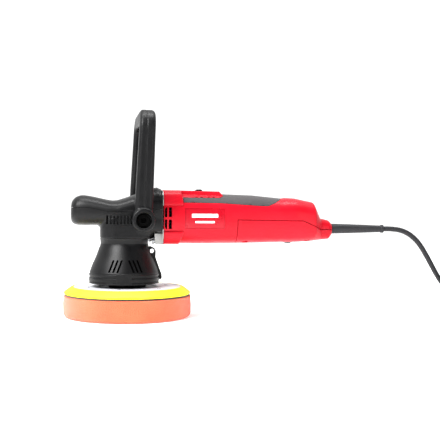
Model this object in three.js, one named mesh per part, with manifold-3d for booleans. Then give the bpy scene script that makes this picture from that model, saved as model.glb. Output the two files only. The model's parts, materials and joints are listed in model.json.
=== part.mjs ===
// Dual-action car polisher: a motor barrel drives a vertical spindle through a bevel gear pair, and an
// eccentric cup under the spindle carries a freely turning backing plate with a foam pad.
// Millimetres, +Z up, +X towards the cord. The origin lies on the main spindle's axis, at the height of
// the pad's working face.

import * as THREE from "three";
import { ConvexGeometry } from "three/addons/geometries/ConvexGeometry.js";
import { mergeVertices } from "three/addons/utils/BufferGeometryUtils.js";
import Module from "manifold-3d";

const wasm = await Module();
wasm.setup();

// ---------------------------------------------------------------- driving dimensions

const GAP = 0.3; // clearance between pieces that touch
const SIDES = 20; // facets round a turned piece
const SMALL_SIDES = 12; // facets round a small turned piece
const PAD_SIDES = 28; // facets round the pad, plate and shroud

const ORBIT = 4; // from the main spindle's axis to the pad's axis
const MOTOR_Z = 117.5; // height of the motor's axis
const GEAR_RATIO = 3; // ring gear teeth over pinion teeth
const PINION_TEETH = 9;
const RING_RADIUS = 21; // pitch radius at the teeth's outer end
const FACE_WIDTH = 6; // length of the bevel teeth

const FOAM_RADIUS = 75;
const FOAM_TOP = 25.6;
const PLATE_RADIUS = 74; // widest part of the yellow cushion layer
const PLATE_TOP = 35.6;
const PLATE_TOP_RADIUS = 65;
const HUB_RADIUS = 21.5;

const SHROUD_BOTTOM = 39.8;
const SHROUD_TOP = 92.2;
const SHROUD_RADIUS = 41.2;
const NECK_RADIUS = 28.5;
const SHROUD_WALL = 2.2;

const HEAD_HALF = 31; // half the head's width across Y
const COVER_WALL = 2.5;
const COVER_BOTTOM = 92.6;
const COVER_REAR = 42; // where both head covers stop
const LIP_FRONT = 42.3; // thin aluminium edge between the head covers and the barrel
const HOUSING_FRONT = 43.6;

const WALL = 4.2; // barrel wall, which the soft grip is let into
const GRIP_DEPTH = 1.8;
const TAIL_END = 250.8;
const CORD_Z = 104.3; // height of the cord's exit
const CORD_RADIUS = 3.15;
const GUARD_START = 231.5;
const GUARD_END = 319;

const PIVOT_X = 18.4; // the D-handle's tilt axis
const PIVOT_Z = 114;
const HANDLE_HALF = 52.5; // from the middle plane to the middle of each handle arm
const HANDLE_TOP = 239.4;
const HANDLE_LEAN = 1.7; // degrees to the rear
const ARM_WIDTH = 19.8;
const ARM_DEPTH = 15;
const ARM_TAPER = 2.2; // the handle's front face moves back by this much towards its top
const ARM_END_OUT = 62; // outer face of the round arm end
const ARM_END_IN = 44.5;
const ARM_END_RADIUS = 12.75;
const ARM_BEND = 14; // radius of the handle's corners, to the middle of the bar
const BOLT_SEAT = 52; // from the middle plane to the floor of the recess round each pivot bolt

const SWITCH_TRAVEL = 6;
const DIAL_X = 197;
const DIAL_Z = 99.9;
const DIAL_RADIUS = 13;

// Barrel outline: x, half width, top, bottom.
const BARREL = [
  [HOUSING_FRONT, 31, 146.8, 86.3],
  [80, 31, 146.3, 86.1],
  [117, 30.3, 145.0, 86.4],
  [152, 28.4, 144.0, 87.0],
  [188, 26.3, 140.6, 87.9],
  [192.5, 26.1, 141.4, 87.9],
  [204, 25.8, 140.9, 87.9],
  [227, 24, 136.3, 89.5],
  [236.5, 13.5, 117.0, 90.7],
  [247.5, 12, 114.6, 91.7],
  [TAIL_END, 9.5, 110.8, 96.4],
];
const BARREL_SQUARE = 2.5;

// Hollow inside the barrel, a wall inside the outline, with its own shorter tail.
const HOLLOW_TAIL = [
  [222.5, 20, 132.4, 93.6],
  [230.9, 12, 114.5, 95.0],
  [234.5, 10.5, 112.6, 95.6],
];

// Head outline above the spindle: x, half width, top, bottom.
const HEAD = [
  [-62.3, 11, 130.4, 115.0],
  [-60.9, 17.5, 135.2, 110.8],
  [-56.6, 22.3, 139.9, 108.1],
  [-49.3, 24.6, 142.2, 107.4],
  [-38, 26.4, 140.9, 107.4],
  [-20, 29.4, 137.2, 107.4],
  [-11.4, 30.4, 136.6, 107.4],
  [-1, HEAD_HALF, 139.2, 107.4],
  [33, HEAD_HALF, 151.2, 107.4],
  [39, HEAD_HALF, 151.2, 107.4],
  [COVER_REAR, HEAD_HALF, 149.6, 107.4],
];
const HEAD_SQUARE = 2.8;

// The step between the upper and lower head covers, seen from the side.
const COVER_SEAM = [
  [-70, 128],
  [-42, 128],
  [-20, 123.6],
  [12, 123.6],
  [34, 126.4],
  [50, 126.4],
];

// The step between the barrel and its lower rear cover, seen from the side.
const REAR_SEAM = [
  [130.2, 70],
  [130.2, 115.1],
  [211.3, 114.3],
  [234.5, 104],
  [270, 104],
];

// The soft grip's outline, seen from the side.
const GRIP_OUTLINE = [
  [66.9, 134.7],
  [66.9, 140.3],
  [111.8, 140.3],
  [117.3, 152],
  [191.5, 152],
  [189.5, 142.3],
  [183.8, 138.6],
  [177.3, 135],
  [168.3, 131.3],
  [160.5, 131.3],
  [110.8, 134.2],
];

// The cord's route from the guard to the coil, along its middle.
const CORD_ROUTE = [
  [GUARD_END + GAP, 0, CORD_Z],
  [326, 0, 104.3],
  [333, 0, 103.9],
  [342, 0, 102.4],
  [351, 0, 98.8],
  [360, 0, 92.4],
  [368, 0, 83.6],
  [375, 0.5, 73.2],
  [382, 1, 61.8],
  [389, 2, 50.2],
  [397, 3, 38.8],
  [406, 3.6, 28],
  [415.5, 4, 18.6],
  [426, 4.2, 10.2],
  [436, 4.2, CORD_RADIUS + 0.1],
];
const CORD_SIDES = 8;
const CORD_STEPS = 26;

// The coil of the cord's spare length, lying on the floor.
const COIL_RADIUS = 37.8; // to the middle of the turns
const COIL_WIDE = 3; // turns side by side
const COIL_HIGH = 4; // turns on each other
const COIL_TOP = 2 * COIL_HIGH * CORD_RADIUS;
const COIL_X = 436;
const COIL_Y = -47;

// ---------------------------------------------------------------- shape helpers

const TURN = {
  x: new THREE.Matrix4().set(0, 0, 1, 0, 1, 0, 0, 0, 0, 1, 0, 0, 0, 0, 0, 1),
  y: new THREE.Matrix4().set(1, 0, 0, 0, 0, 0, 1, 0, 0, 1, 0, 0, 0, 0, 0, 1),
  z: new THREE.Matrix4(),
};

// A closed three.js geometry as a solid with its faces pointing out.
function solid(geometry) {
  const bare = geometry.index ? geometry.clone() : geometry;
  bare.deleteAttribute("normal");
  bare.deleteAttribute("uv");
  const merged = mergeVertices(bare, 1e-4);
  const place = merged.attributes.position.array;
  const corners = merged.index.array;
  const kept = [];
  const a = new THREE.Vector3();
  const b = new THREE.Vector3();
  const c = new THREE.Vector3();
  let volume = 0;
  for (let i = 0; i < corners.length; i += 3) {
    const [p, q, r] = corners.slice(i, i + 3);
    if (p === q || q === r || r === p) continue;
    kept.push([p, q, r]);
    a.fromArray(place, 3 * p);
    b.fromArray(place, 3 * q);
    c.fromArray(place, 3 * r);
    volume += a.dot(b.cross(c));
  }
  const facing = volume < 0 ? kept.map(([p, q, r]) => [p, r, q]) : kept;
  const mesh = new wasm.Mesh({
    numProp: 3,
    vertProperties: new Float32Array(place),
    triVerts: new Uint32Array(facing.flat()),
  });
  return new wasm.Manifold(mesh);
}

// An outline pushed along an axis. On x the outline is (y, z), on y it is (x, z), on z it is (x, y).
function slab(outline, axis, from, to) {
  const shape = new THREE.Shape(outline.map(([a, b]) => new THREE.Vector2(a, b)));
  const geometry = new THREE.ExtrudeGeometry(shape, { depth: to - from, bevelEnabled: false });
  geometry.translate(0, 0, from);
  geometry.applyMatrix4(TURN[axis]);
  return solid(geometry);
}

function box(x0, x1, y0, y1, z0, z1) {
  const geometry = new THREE.BoxGeometry(x1 - x0, y1 - y0, z1 - z0);
  geometry.translate((x0 + x1) / 2, (y0 + y1) / 2, (z0 + z1) / 2);
  return solid(geometry);
}

function circle(radius, centre = [0, 0], sides = SMALL_SIDES) {
  const points = [];
  for (let i = 0; i < sides; i += 1) {
    const angle = ((i + 0.5) * 2 * Math.PI) / sides;
    points.push([centre[0] + radius * Math.cos(angle), centre[1] + radius * Math.sin(angle)]);
  }
  return points;
}

function rod(axis, radius, from, to, centre = [0, 0], sides = SMALL_SIDES) {
  return slab(circle(radius, centre, sides), axis, from, to);
}

// A flat sector of a ring, from one angle to another in degrees.
function sector(inner, outer, start, end, centre = [0, 0], steps = 8) {
  const arc = (radius, from, to) =>
    Array.from({ length: steps + 1 }, (_, i) => {
      const angle = THREE.MathUtils.degToRad(from + ((to - from) * i) / steps);
      return [centre[0] + radius * Math.cos(angle), centre[1] + radius * Math.sin(angle)];
    });
  return [...arc(outer, start, end), ...arc(inner, end, start)];
}

// A profile of (radius, height) points turned about the Z or X axis.
function turned(profile, axis = "z", sides = SIDES) {
  const points = profile.map(([r, h]) => new THREE.Vector2(Math.max(r, 0), h));
  const geometry = new THREE.LatheGeometry(points, sides);
  const onAxis = {
    z: new THREE.Matrix4().set(1, 0, 0, 0, 0, 0, 1, 0, 0, 1, 0, 0, 0, 0, 0, 1),
    x: new THREE.Matrix4().set(0, 1, 0, 0, 1, 0, 0, 0, 0, 0, 1, MOTOR_Z, 0, 0, 0, 1),
  };
  geometry.applyMatrix4(onAxis[axis]);
  return solid(geometry);
}

function ring(axis, inner, outer, from, to, sides = SIDES) {
  const profile = [
    [inner, from],
    [outer, from],
    [outer, to],
    [inner, to],
    [inner, from],
  ];
  return turned(profile, axis, sides);
}

// From near to far on one side of the middle plane, lowest first.
const span = (side, near, far) => (side > 0 ? [near, far] : [-far, -near]);

const join = (first, ...others) => others.reduce((sum, next) => sum.add(next), first);
const cut = (first, ...others) => others.reduce((rest, next) => rest.subtract(next), first);
const common = (first, second) => first.intersect(second);

// The same solid moved along X, Y and Z.
function moved(shape, x, y, z) {
  const geometry = geometryOf(shape);
  geometry.translate(x, y, z);
  return solid(geometry);
}

function geometryOf(shape) {
  const mesh = shape.getMesh();
  const geometry = new THREE.BufferGeometry();
  geometry.setAttribute("position", new THREE.BufferAttribute(mesh.vertProperties, 3));
  geometry.setIndex(new THREE.BufferAttribute(mesh.triVerts, 1));
  return geometry;
}

// A closed skin through rounded sections that stand at places along X.
// A station is x, half width, top, bottom. A higher square makes the sections' corners fuller.
function loft(stations, square, sides = SIDES) {
  const positions = [];
  const index = [];
  for (const [x, half, top, bottom] of stations) {
    const middle = (top + bottom) / 2;
    const high = (top - bottom) / 2;
    for (let i = 0; i < sides; i += 1) {
      const angle = (i * 2 * Math.PI) / sides;
      const bend = (value) => Math.sign(value) * Math.abs(value) ** (2 / square);
      positions.push(x, half * bend(Math.cos(angle)), middle + high * bend(Math.sin(angle)));
    }
  }
  const last = stations.length - 1;
  for (let s = 0; s < last; s += 1) {
    for (let i = 0; i < sides; i += 1) {
      const next = (i + 1) % sides;
      const [a, b] = [s * sides + i, s * sides + next];
      const [c, d] = [a + sides, b + sides];
      index.push(a, b, d, a, d, c);
    }
  }
  for (let i = 1; i < sides - 1; i += 1) {
    index.push(0, i + 1, i);
    index.push(last * sides, last * sides + i, last * sides + i + 1);
  }
  const geometry = new THREE.BufferGeometry();
  geometry.setAttribute("position", new THREE.Float32BufferAttribute(positions, 3));
  geometry.setIndex(index);
  return solid(geometry);
}

const thinned = (stations, wall) =>
  stations.map(([x, half, top, bottom]) => [x, half - wall, top - wall, bottom + wall]);

// An outline with each corner moved out by a distance.
function outset(outline, distance) {
  const area = outline.reduce((sum, [x, y], i) => {
    const [u, v] = outline[(i + 1) % outline.length];
    return sum + x * v - u * y;
  }, 0);
  const way = Math.sign(area) * distance;
  return outline.map(([x, y], i) => {
    const before = outline[(i + outline.length - 1) % outline.length];
    const after = outline[(i + 1) % outline.length];
    const normal = ([ax, ay], [bx, by]) => {
      const length = Math.hypot(bx - ax, by - ay);
      return [(by - ay) / length, -(bx - ax) / length];
    };
    const [p, q] = [normal(before, [x, y]), normal([x, y], after)];
    const spread = 1 + p[0] * q[0] + p[1] * q[1];
    return [x + (way * (p[0] + q[0])) / spread, y + (way * (p[1] + q[1])) / spread];
  });
}

// ---------------------------------------------------------------- the assembly

const polisher = new THREE.Group();

const FINISH = {
  red: { color: 0xe0202e, roughness: 0.38, metalness: 0 },
  label: { color: 0xb81624, roughness: 0.3, metalness: 0 },
  black: { color: 0x2b2b2d, roughness: 0.55, metalness: 0 },
  rubber: { color: 0x59575a, roughness: 0.8, metalness: 0 },
  aluminium: { color: 0xb9bab8, roughness: 0.42, metalness: 0.9 },
  steel: { color: 0x8d9094, roughness: 0.3, metalness: 1 },
  copper: { color: 0xb4642e, roughness: 0.35, metalness: 1 },
  brass: { color: 0xc09a45, roughness: 0.35, metalness: 1 },
  carbon: { color: 0x1c1c1d, roughness: 0.7, metalness: 0.1 },
  laminations: { color: 0x55585c, roughness: 0.5, metalness: 0.8 },
  whitePlastic: { color: 0xdddde0, roughness: 0.5, metalness: 0 },
  yellow: { color: 0xf6ea22, roughness: 0.6, metalness: 0 },
  foam: { color: 0xf59a76, roughness: 0.95, metalness: 0 },
  hook: { color: 0x3a3633, roughness: 0.95, metalness: 0 },
};

function put(name, finish, shape) {
  const mesh = new THREE.Mesh(geometryOf(shape), new THREE.MeshStandardMaterial(FINISH[finish]));
  mesh.name = name;
  polisher.add(mesh);
}

// ---------------------------------------------------------------- pad and backing plate

function padStack() {
  const about = (shape) => moved(shape, ORBIT, 0, 0);
  const edge = 5; // rounding of the foam's working edge
  const foam = [
    [0, 0],
    [FOAM_RADIUS - edge, 0],
    [FOAM_RADIUS - 1.6, 1.4],
    [FOAM_RADIUS - 0.3, edge],
    [FOAM_RADIUS, 12],
    [FOAM_RADIUS - 0.7, FOAM_TOP],
    [0, FOAM_TOP],
  ];
  put("foam_pad", "foam", about(turned(foam, "z", PAD_SIDES)));

  const hookBottom = FOAM_TOP + GAP;
  const hookTop = 27;
  const hook = [
    [0, hookBottom],
    [PLATE_RADIUS - 0.8, hookBottom],
    [PLATE_RADIUS - 0.8, hookTop],
    [0, hookTop],
  ];
  put("hook_layer", "hook", about(turned(hook, "z", PAD_SIDES)));

  const cushionBottom = hookTop + GAP;
  const discRadius = 62.6;
  const discBottom = 33.6;
  const cushion = [
    [0, cushionBottom],
    [PLATE_RADIUS - 0.7, cushionBottom],
    [PLATE_RADIUS, cushionBottom + 0.8],
    [PLATE_RADIUS, cushionBottom + 2.1],
    [PLATE_TOP_RADIUS, PLATE_TOP],
    [discRadius + GAP, PLATE_TOP],
    [discRadius + GAP, discBottom - GAP],
    [0, discBottom - GAP],
  ];
  put("plate_cushion", "yellow", about(turned(cushion, "z", PAD_SIDES)));

  const discTop = PLATE_TOP + 0.3;
  const dishFloor = 34.7; // the disc is dished in the middle, where the hub sits
  const disc = [
    [0, discBottom],
    [discRadius, discBottom],
    [discRadius, discTop],
    [34, discTop],
    [31, dishFloor],
    [0, dishFloor],
  ];
  put("plate_disc", "whitePlastic", about(turned(disc, "z", PAD_SIDES)));

  const hubBottom = dishFloor + GAP;
  const studTop = 58;
  const hub = [
    [0, hubBottom],
    [HUB_RADIUS, hubBottom],
    [HUB_RADIUS, hubBottom + 3.2],
    [15, 42.5],
    [11, 46.4],
    [3.8, 46.4],
    [3.8, studTop],
    [0, studTop],
  ];
  put("plate_hub", "black", about(turned(hub, "z", 20)));
}

// ---------------------------------------------------------------- stub spindle and eccentric

function drive() {
  const about = (shape) => moved(shape, ORBIT, 0, 0);

  const stub = [
    [4.1, 46.8],
    [10, 46.8],
    [10, 54.5],
    [6.2, 56.5],
    [6.2, 79],
    [0, 79],
    [0, 60],
    [4.1, 60],
    [4.1, 46.8],
  ];
  put("stub_spindle", "steel", about(turned(stub, "z", SMALL_SIDES)));
  put("stub_bearing", "steel", about(ring("z", 6.5, 13, 58, 78, 20)));

  const cupRadius = 17;
  const cup = cut(
    rod("z", cupRadius, 57, 84.5, [ORBIT, 0], 20),
    rod("z", 13.5, 56, 80.5, [ORBIT, 0], 20),
  );
  const shaft = turned([
    [0, 83],
    [10.5, 83],
    [10.5, 87],
    [7.2, 89],
    [7.2, 103.6],
    [5.9, 103.6],
    [5.9, 122],
    [4.7, 122],
    [4.7, 129.4],
    [0, 129.4],
  ], "z", 16);
  put("main_spindle", "steel", join(cup, shaft));

  const weight = slab(sector(14, 29, 112, 248, [0, 0], 10), "z", 58, 74);
  const seat = rod("z", cupRadius + GAP, 50, 90, [ORBIT, 0], 20);
  put("counterweight", "steel", cut(weight, seat));

  put("lower_spindle_bearing", "steel", ring("z", 7.5, 17.5, 92, 103, 28));
  put("upper_spindle_bearing", "steel", ring("z", 5, 11, 122.5, 129.4, 24));
}

// ---------------------------------------------------------------- bevel gear pair

const TIP = 1; // tooth height above the pitch cone, at the outer end
const ROOT = 1.4; // tooth depth below it
const TIP_HALF = 0.5; // half the tooth's thickness at its tip
const ROOT_HALF = 1.05;
const RING_TEETH = GEAR_RATIO * PINION_TEETH;
const FACE_INNER = RING_RADIUS - FACE_WIDTH;

// One tooth of a bevel gear as a wedge that narrows towards the point where both axes meet.
// place(reach, height, side) gives the corner at a distance along the pitch cone.
function tooth(place) {
  const corners = [];
  for (const reach of [FACE_INNER, RING_RADIUS]) {
    const scale = reach / RING_RADIUS;
    for (const side of [-1, 1]) {
      corners.push(place(reach, TIP * scale, side * TIP_HALF * scale));
      corners.push(place(reach, -(ROOT + 0.5) * scale, side * ROOT_HALF * scale));
    }
  }
  return solid(new ConvexGeometry(corners));
}

function ringGear() {
  const under = 104.4;
  const top = (r) => MOTOR_Z - r / GEAR_RATIO - (ROOT * r) / RING_RADIUS;
  let gear = turned([
    [6.2, under],
    [RING_RADIUS + 0.6, under],
    [RING_RADIUS + 0.6, top(RING_RADIUS)],
    [FACE_INNER, top(FACE_INNER)],
    [11, top(FACE_INNER)],
    [11, top(FACE_INNER) - 2.5],
    [6.2, top(FACE_INNER) - 2.5],
    [6.2, under],
  ]);
  for (let i = 0; i < RING_TEETH; i += 1) {
    const angle = (i * 2 * Math.PI) / RING_TEETH;
    const place = (reach, height, side) =>
      new THREE.Vector3(reach, side, MOTOR_Z - reach / GEAR_RATIO + height).applyAxisAngle(
        new THREE.Vector3(0, 0, 1),
        angle,
      );
    gear = join(gear, tooth(place));
  }
  put("ring_gear", "steel", gear);
}

function drivePinion() {
  const radiusAt = (x) => x / GEAR_RATIO - (ROOT * x) / RING_RADIUS;
  const bore = 2.3;
  let pinion = turned(
    [
      [bore, FACE_INNER],
      [radiusAt(FACE_INNER), FACE_INNER],
      [radiusAt(RING_RADIUS), RING_RADIUS],
      [4.6, RING_RADIUS + 0.2],
      [4.6, RING_RADIUS + 4.5],
      [bore, RING_RADIUS + 4.5],
      [bore, FACE_INNER],
    ],
    "x",
    18,
  );
  for (let i = 0; i < PINION_TEETH; i += 1) {
    const angle = ((i + 0.5) * 2 * Math.PI) / PINION_TEETH;
    const place = (reach, height, side) =>
      new THREE.Vector3(reach, side, -reach / GEAR_RATIO - height)
        .applyAxisAngle(new THREE.Vector3(1, 0, 0), angle)
        .add(new THREE.Vector3(0, 0, MOTOR_Z));
    pinion = join(pinion, tooth(place));
  }
  put("drive_pinion", "steel", pinion);
}

// ---------------------------------------------------------------- gear case and bearings

const LIP_SET_BACK = [24, 103.9, 130.6]; // half width, bottom and top of the lip's narrow middle
const SCREW_PLACES = [
  [24, 89.4],
  [-24, 89.4],
  [20.5, 139.5],
  [-20.5, 139.5],
];

function gearCase() {
  const drum = rod("z", 25.5, 93, 130, [0, 0], SIDES);
  const neck = rod("z", 25.2, 86, 94, [0, 0], SIDES);
  const dome = rod("z", 13.5, 129, 132.9, [0, 0], 20);
  const bridge = box(6, 37, -17.5, 17.5, 104.5, 135);
  const flange = loft(
    [
      [36.5, 27.6, 145.8, 87.5],
      [LIP_FRONT + 0.1, 27.6, 145.8, 87.5],
    ],
    HEAD_SQUARE,
    20,
  );
  const lip = loft(
    [
      [LIP_FRONT, HEAD_HALF, 149, 85.6],
      [HOUSING_FRONT - GAP, HEAD_HALF, 149, 85.6],
    ],
    5,
    20,
  );
  const chin = slab(
    [
      [33.3, 98.3],
      [33.3, 88.3],
      [35.3, 86.3],
      [LIP_FRONT + 0.2, 86.3],
      [LIP_FRONT + 0.2, 98.3],
    ],
    "y",
    -28.1,
    28.1,
  );
  const pivot = [PIVOT_X, PIVOT_Z];
  const bosses = [-1, 1].map((side) => rod("y", 8, ...span(side, 20, 44.1), pivot));
  const chamber = rod("z", 23, 80, 121, [0, 0], SIDES);
  const pocket = rod("z", 11.2, 120, 129.7, [0, 0], 24);
  const shaftBore = rod("x", 9.2, 12, 30, [0, MOTOR_Z], 20);
  const bearingBore = rod("x", 14.5, 27, 60, [0, MOTOR_Z], 24);
  const threads = [-1, 1].map((side) => rod("y", 4.3, ...span(side, 30, 50), pivot));
  const screwHoles = SCREW_PLACES.map(([y, z]) => rod("x", 2.3, 30, 50, [y, z], 6));
  const body = join(drum, neck, dome, bridge, flange, lip, chin, ...bosses);
  const bores = [chamber, pocket, shaftBore, bearingBore, ...threads, ...screwHoles];
  const [setBack, setBottom, setTop] = LIP_SET_BACK;
  const waists = [-1, 1].map((side) =>
    box(LIP_FRONT, HOUSING_FRONT, ...span(side, setBack, 40), setBottom, setTop),
  );
  put("gear_case", "aluminium", cut(body, ...bores, ...waists));

  const retainer = cut(
    rod("z", 22.7, 86.2, 103, [0, 0], SIDES),
    rod("z", 17.8, 89.5, 110, [0, 0], 28),
    rod("z", 11, 80, 92, [0, 0], 24),
  );
  put("bearing_retainer", "aluminium", retainer);
  put("front_armature_bearing", "steel", ring("x", 5.2, 14, 27.3, 35.3, 24));

  for (const [i, [y, z]] of SCREW_PLACES.entries()) {
    const seat = z < MOTOR_Z ? 33.3 : 36.5;
    const head = rod("x", 2.8, seat - 3, seat - GAP, [y, z], 10);
    const screw = join(head, rod("x", 1.8, seat - 1, 57, [y, z], 6));
    put(`case_screw_${i + 1}`, "steel", screw);
  }
}

// ---------------------------------------------------------------- shroud

function shroud() {
  const outer = [
    [NECK_RADIUS, SHROUD_TOP],
    [NECK_RADIUS - 0.8, 86],
    [29.6, 80.5],
    [32.6, 72],
    [36.6, 63],
    [40.2, 54],
    [SHROUD_RADIUS, 50.4],
    [SHROUD_RADIUS, SHROUD_BOTTOM],
  ];
  const neckBore = 25.5;
  const inner = [
    [SHROUD_RADIUS - SHROUD_WALL, SHROUD_BOTTOM],
    [SHROUD_RADIUS - SHROUD_WALL, 50],
    [34.4, 63],
    [30.4, 72],
    [neckBore + 0.6, 80],
    [neckBore, 85.5],
    [neckBore, SHROUD_TOP],
  ];
  const bell = turned([...outer, ...inner, outer[0]], "z", PAD_SIDES);
  const lug = slab(
    [
      [26.8, 82],
      [31, 82.6],
      [35, 80.6],
      [36.8, 77],
      [36.6, 69.7],
      [40.4, 59],
      [44, 49.5],
      [44.2, 44],
      [40.2, 43.6],
      [36, 52],
      [27.5, 74],
    ],
    "y",
    -3.5,
    3.5,
  );
  const hollow = turned([[0, 30], ...inner, [0, SHROUD_TOP]], "z", PAD_SIDES);
  const hole = rod("y", 2.7, -6, 6, [32.4, 77.1], 14);
  const slots = [];
  for (const side of [-1, 1]) {
    for (const lean of [-1, 1]) {
      for (let i = 0; i < 3; i += 1) {
        const top = lean * (4 + 4.6 * i) - 0.4;
        const outline = [
          [top - 1, 68],
          [top + 1, 68],
          [top + 1 + lean * 5.6, 53.8],
          [top - 1 + lean * 5.6, 53.8],
        ];
        slots.push(slab(outline, "y", ...span(side, 15, 45)));
      }
    }
  }
  put("shroud", "black", cut(join(bell, cut(lug, hollow)), hole, ...slots));
}

// ---------------------------------------------------------------- head covers

const LOUVRES = 8;
const LOUVRE_START = -22.2;
const LOUVRE_PITCH = 3.95;

function headCovers() {
  const square = HEAD_SQUARE;
  const rear = COVER_REAR;
  const column = (shrink, bottom, top) => {
    const [front, back, half, round] = [-28.3 + shrink, 33 - shrink, HEAD_HALF - shrink, 17];
    const shape = new THREE.Shape();
    shape.moveTo(front + round, -half);
    shape.lineTo(back - round, -half);
    shape.absarc(back - round, -half + round, round, -Math.PI / 2, 0);
    shape.absarc(back - round, half - round, round, 0, Math.PI / 2);
    shape.absarc(front + round, half - round, round, Math.PI / 2, Math.PI);
    shape.absarc(front + round, -half + round, round, Math.PI, 1.5 * Math.PI);
    const outline = shape.getPoints(3).map((p) => [p.x, p.y]);
    return slab(outline, "z", bottom, top);
  };
  const rearBlock = (shrink, reach) =>
    loft(
      [
        [8, HEAD_HALF - shrink, 148 - shrink, 98.7 + shrink],
        [rear + reach, HEAD_HALF - shrink, 148 - shrink, 98.7 + shrink],
      ],
      5,
      28,
    );
  const outerHead = join(loft(HEAD, square), common(rearBlock(0, 0), box(0, 60, -40, 40, 90, 140)));
  const outer = join(outerHead, column(0, COVER_BOTTOM, 118));
  const inside = thinned(HEAD, COVER_WALL).slice(2);
  inside.push([rear + 2, HEAD_HALF - COVER_WALL, 149.6 - COVER_WALL, 109.9]);
  const hollow = join(
    loft(inside, square, 14),
    common(rearBlock(COVER_WALL, 2), box(0, 60, -40, 40, 90, 138)),
    column(COVER_WALL, COVER_BOTTOM - 5, 116),
  );
  const collars = [-1, 1].map((side) => rod("y", 10.2, ...span(side, 27, 40), [PIVOT_X, 113.2], 24));
  const bossHole = rod("y", 8 + GAP, -50, 50, [PIVOT_X, PIVOT_Z]);
  const chinRoom = box(rear - 9.1, 60, -40, 40, 80, 98.7);
  const flangeRoom = box(rear - 9.3, 60, -28.5, 28.5, 80, 107.4);
  const shell = cut(outer, hollow);

  const above = [...COVER_SEAM, [50, 170], [-70, 170]];
  const below = [...COVER_SEAM.map(([x, z]) => [x, z - GAP - 0.05]), [50, 80], [-70, 80]];
  put("head_upper_cover", "black", common(shell, slab(above, "y", -60, 60)));

  const louvres = [];
  for (const side of [-1, 1]) {
    for (let i = 0; i < LOUVRES; i += 1) {
      const x = LOUVRE_START + LOUVRE_PITCH * i;
      louvres.push(box(x, x + 2, ...span(side, 22, 40), 109.2, 119));
    }
  }
  const lower = common(join(shell, ...collars), slab(below, "y", -60, 60));
  const clearOfCase = rod("z", 25.8, 90, 118, [0, 0], SIDES);
  put("head_lower_cover", "black", cut(lower, bossHole, chinRoom, flangeRoom, clearOfCase, ...louvres));
}

// ---------------------------------------------------------------- D-handle and its bolts

const TAPER_START = 150; // height where the handle starts to narrow

class HandlePath extends THREE.Curve {
  constructor(half, bottom, top, bend) {
    super();
    Object.assign(this, { half, bottom, top, bend });
    this.rise = top - bend - bottom;
    this.turn = (Math.PI / 2) * bend;
    this.across = 2 * (half - bend);
    this.whole = 2 * this.rise + 2 * this.turn + this.across;
  }

  // The middle line runs up one arm, round two bends and down the other arm.
  getPoint(t, target = new THREE.Vector3()) {
    const { half, bottom, top, bend, rise, turn, across, whole } = this;
    const side = t < 0.5 ? -1 : 1;
    const s = Math.min(t, 1 - t) * whole;
    if (s < rise) return target.set(0, side * half, bottom + s);
    if (s < rise + turn) {
      const angle = (s - rise) / bend;
      const y = half - bend + bend * Math.cos(angle);
      return target.set(0, side * y, top - bend + bend * Math.sin(angle));
    }
    return target.set(0, side * (across / 2 - (s - rise - turn)), top);
  }
}

function dHandle() {
  const path = new HandlePath(HANDLE_HALF, PIVOT_Z + 4, HANDLE_TOP - ARM_DEPTH / 2, ARM_BEND);
  const [deep, wide] = [ARM_DEPTH / 2, ARM_WIDTH / 2];
  const corner = 4; // cut off the bar's corners
  const section = [
    [deep, corner - wide],
    [deep, wide - corner],
    [deep - corner, wide],
    [corner - deep, wide],
    [-deep, wide - corner],
    [-deep, corner - wide],
    [corner - deep, -wide],
    [deep - corner, -wide],
  ].map(([x, y]) => new THREE.Vector2(x, y));
  const bar = new THREE.ExtrudeGeometry(new THREE.Shape(section), {
    steps: 24,
    bevelEnabled: false,
    extrudePath: path,
  });
  const corners = bar.attributes.position;
  for (let i = 0; i < corners.count; i += 1) {
    const share = THREE.MathUtils.clamp((corners.getZ(i) - TAPER_START) / (HANDLE_TOP - TAPER_START), 0, 1);
    const x = corners.getX(i);
    if (x < 0) corners.setX(i, x * (1 - (share * ARM_TAPER) / wide));
  }
  bar.translate(0, 0, -PIVOT_Z);
  bar.rotateY(THREE.MathUtils.degToRad(HANDLE_LEAN));
  bar.translate(PIVOT_X, 0, PIVOT_Z);
  let handle = solid(bar);
  const pivot = [PIVOT_X, PIVOT_Z];
  for (const side of [-1, 1]) {
    const end = rod("y", ARM_END_RADIUS, ...span(side, ARM_END_IN, ARM_END_OUT), pivot, 20);
    const recess = rod("y", 8.85, ...span(side, BOLT_SEAT, 70), pivot, 16);
    const hole = rod("y", 4.3, ...span(side, 40, 60), pivot);
    handle = cut(join(handle, end), recess, hole);
  }
  put("d_handle", "black", handle);

  for (const [name, side] of [["handle_bolt_left", -1], ["handle_bolt_right", 1]]) {
    const head = rod("y", 7.2, ...span(side, BOLT_SEAT + GAP, 57.5), pivot);
    const socket = slab(circle(3.4, pivot, 6), "y", ...span(side, 54, 60));
    const shank = rod("y", 4, ...span(side, 30.4, 53), pivot);
    put(name, "steel", join(cut(head, socket), shank));
  }
}

// ---------------------------------------------------------------- barrel, rear cover and grip

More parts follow.
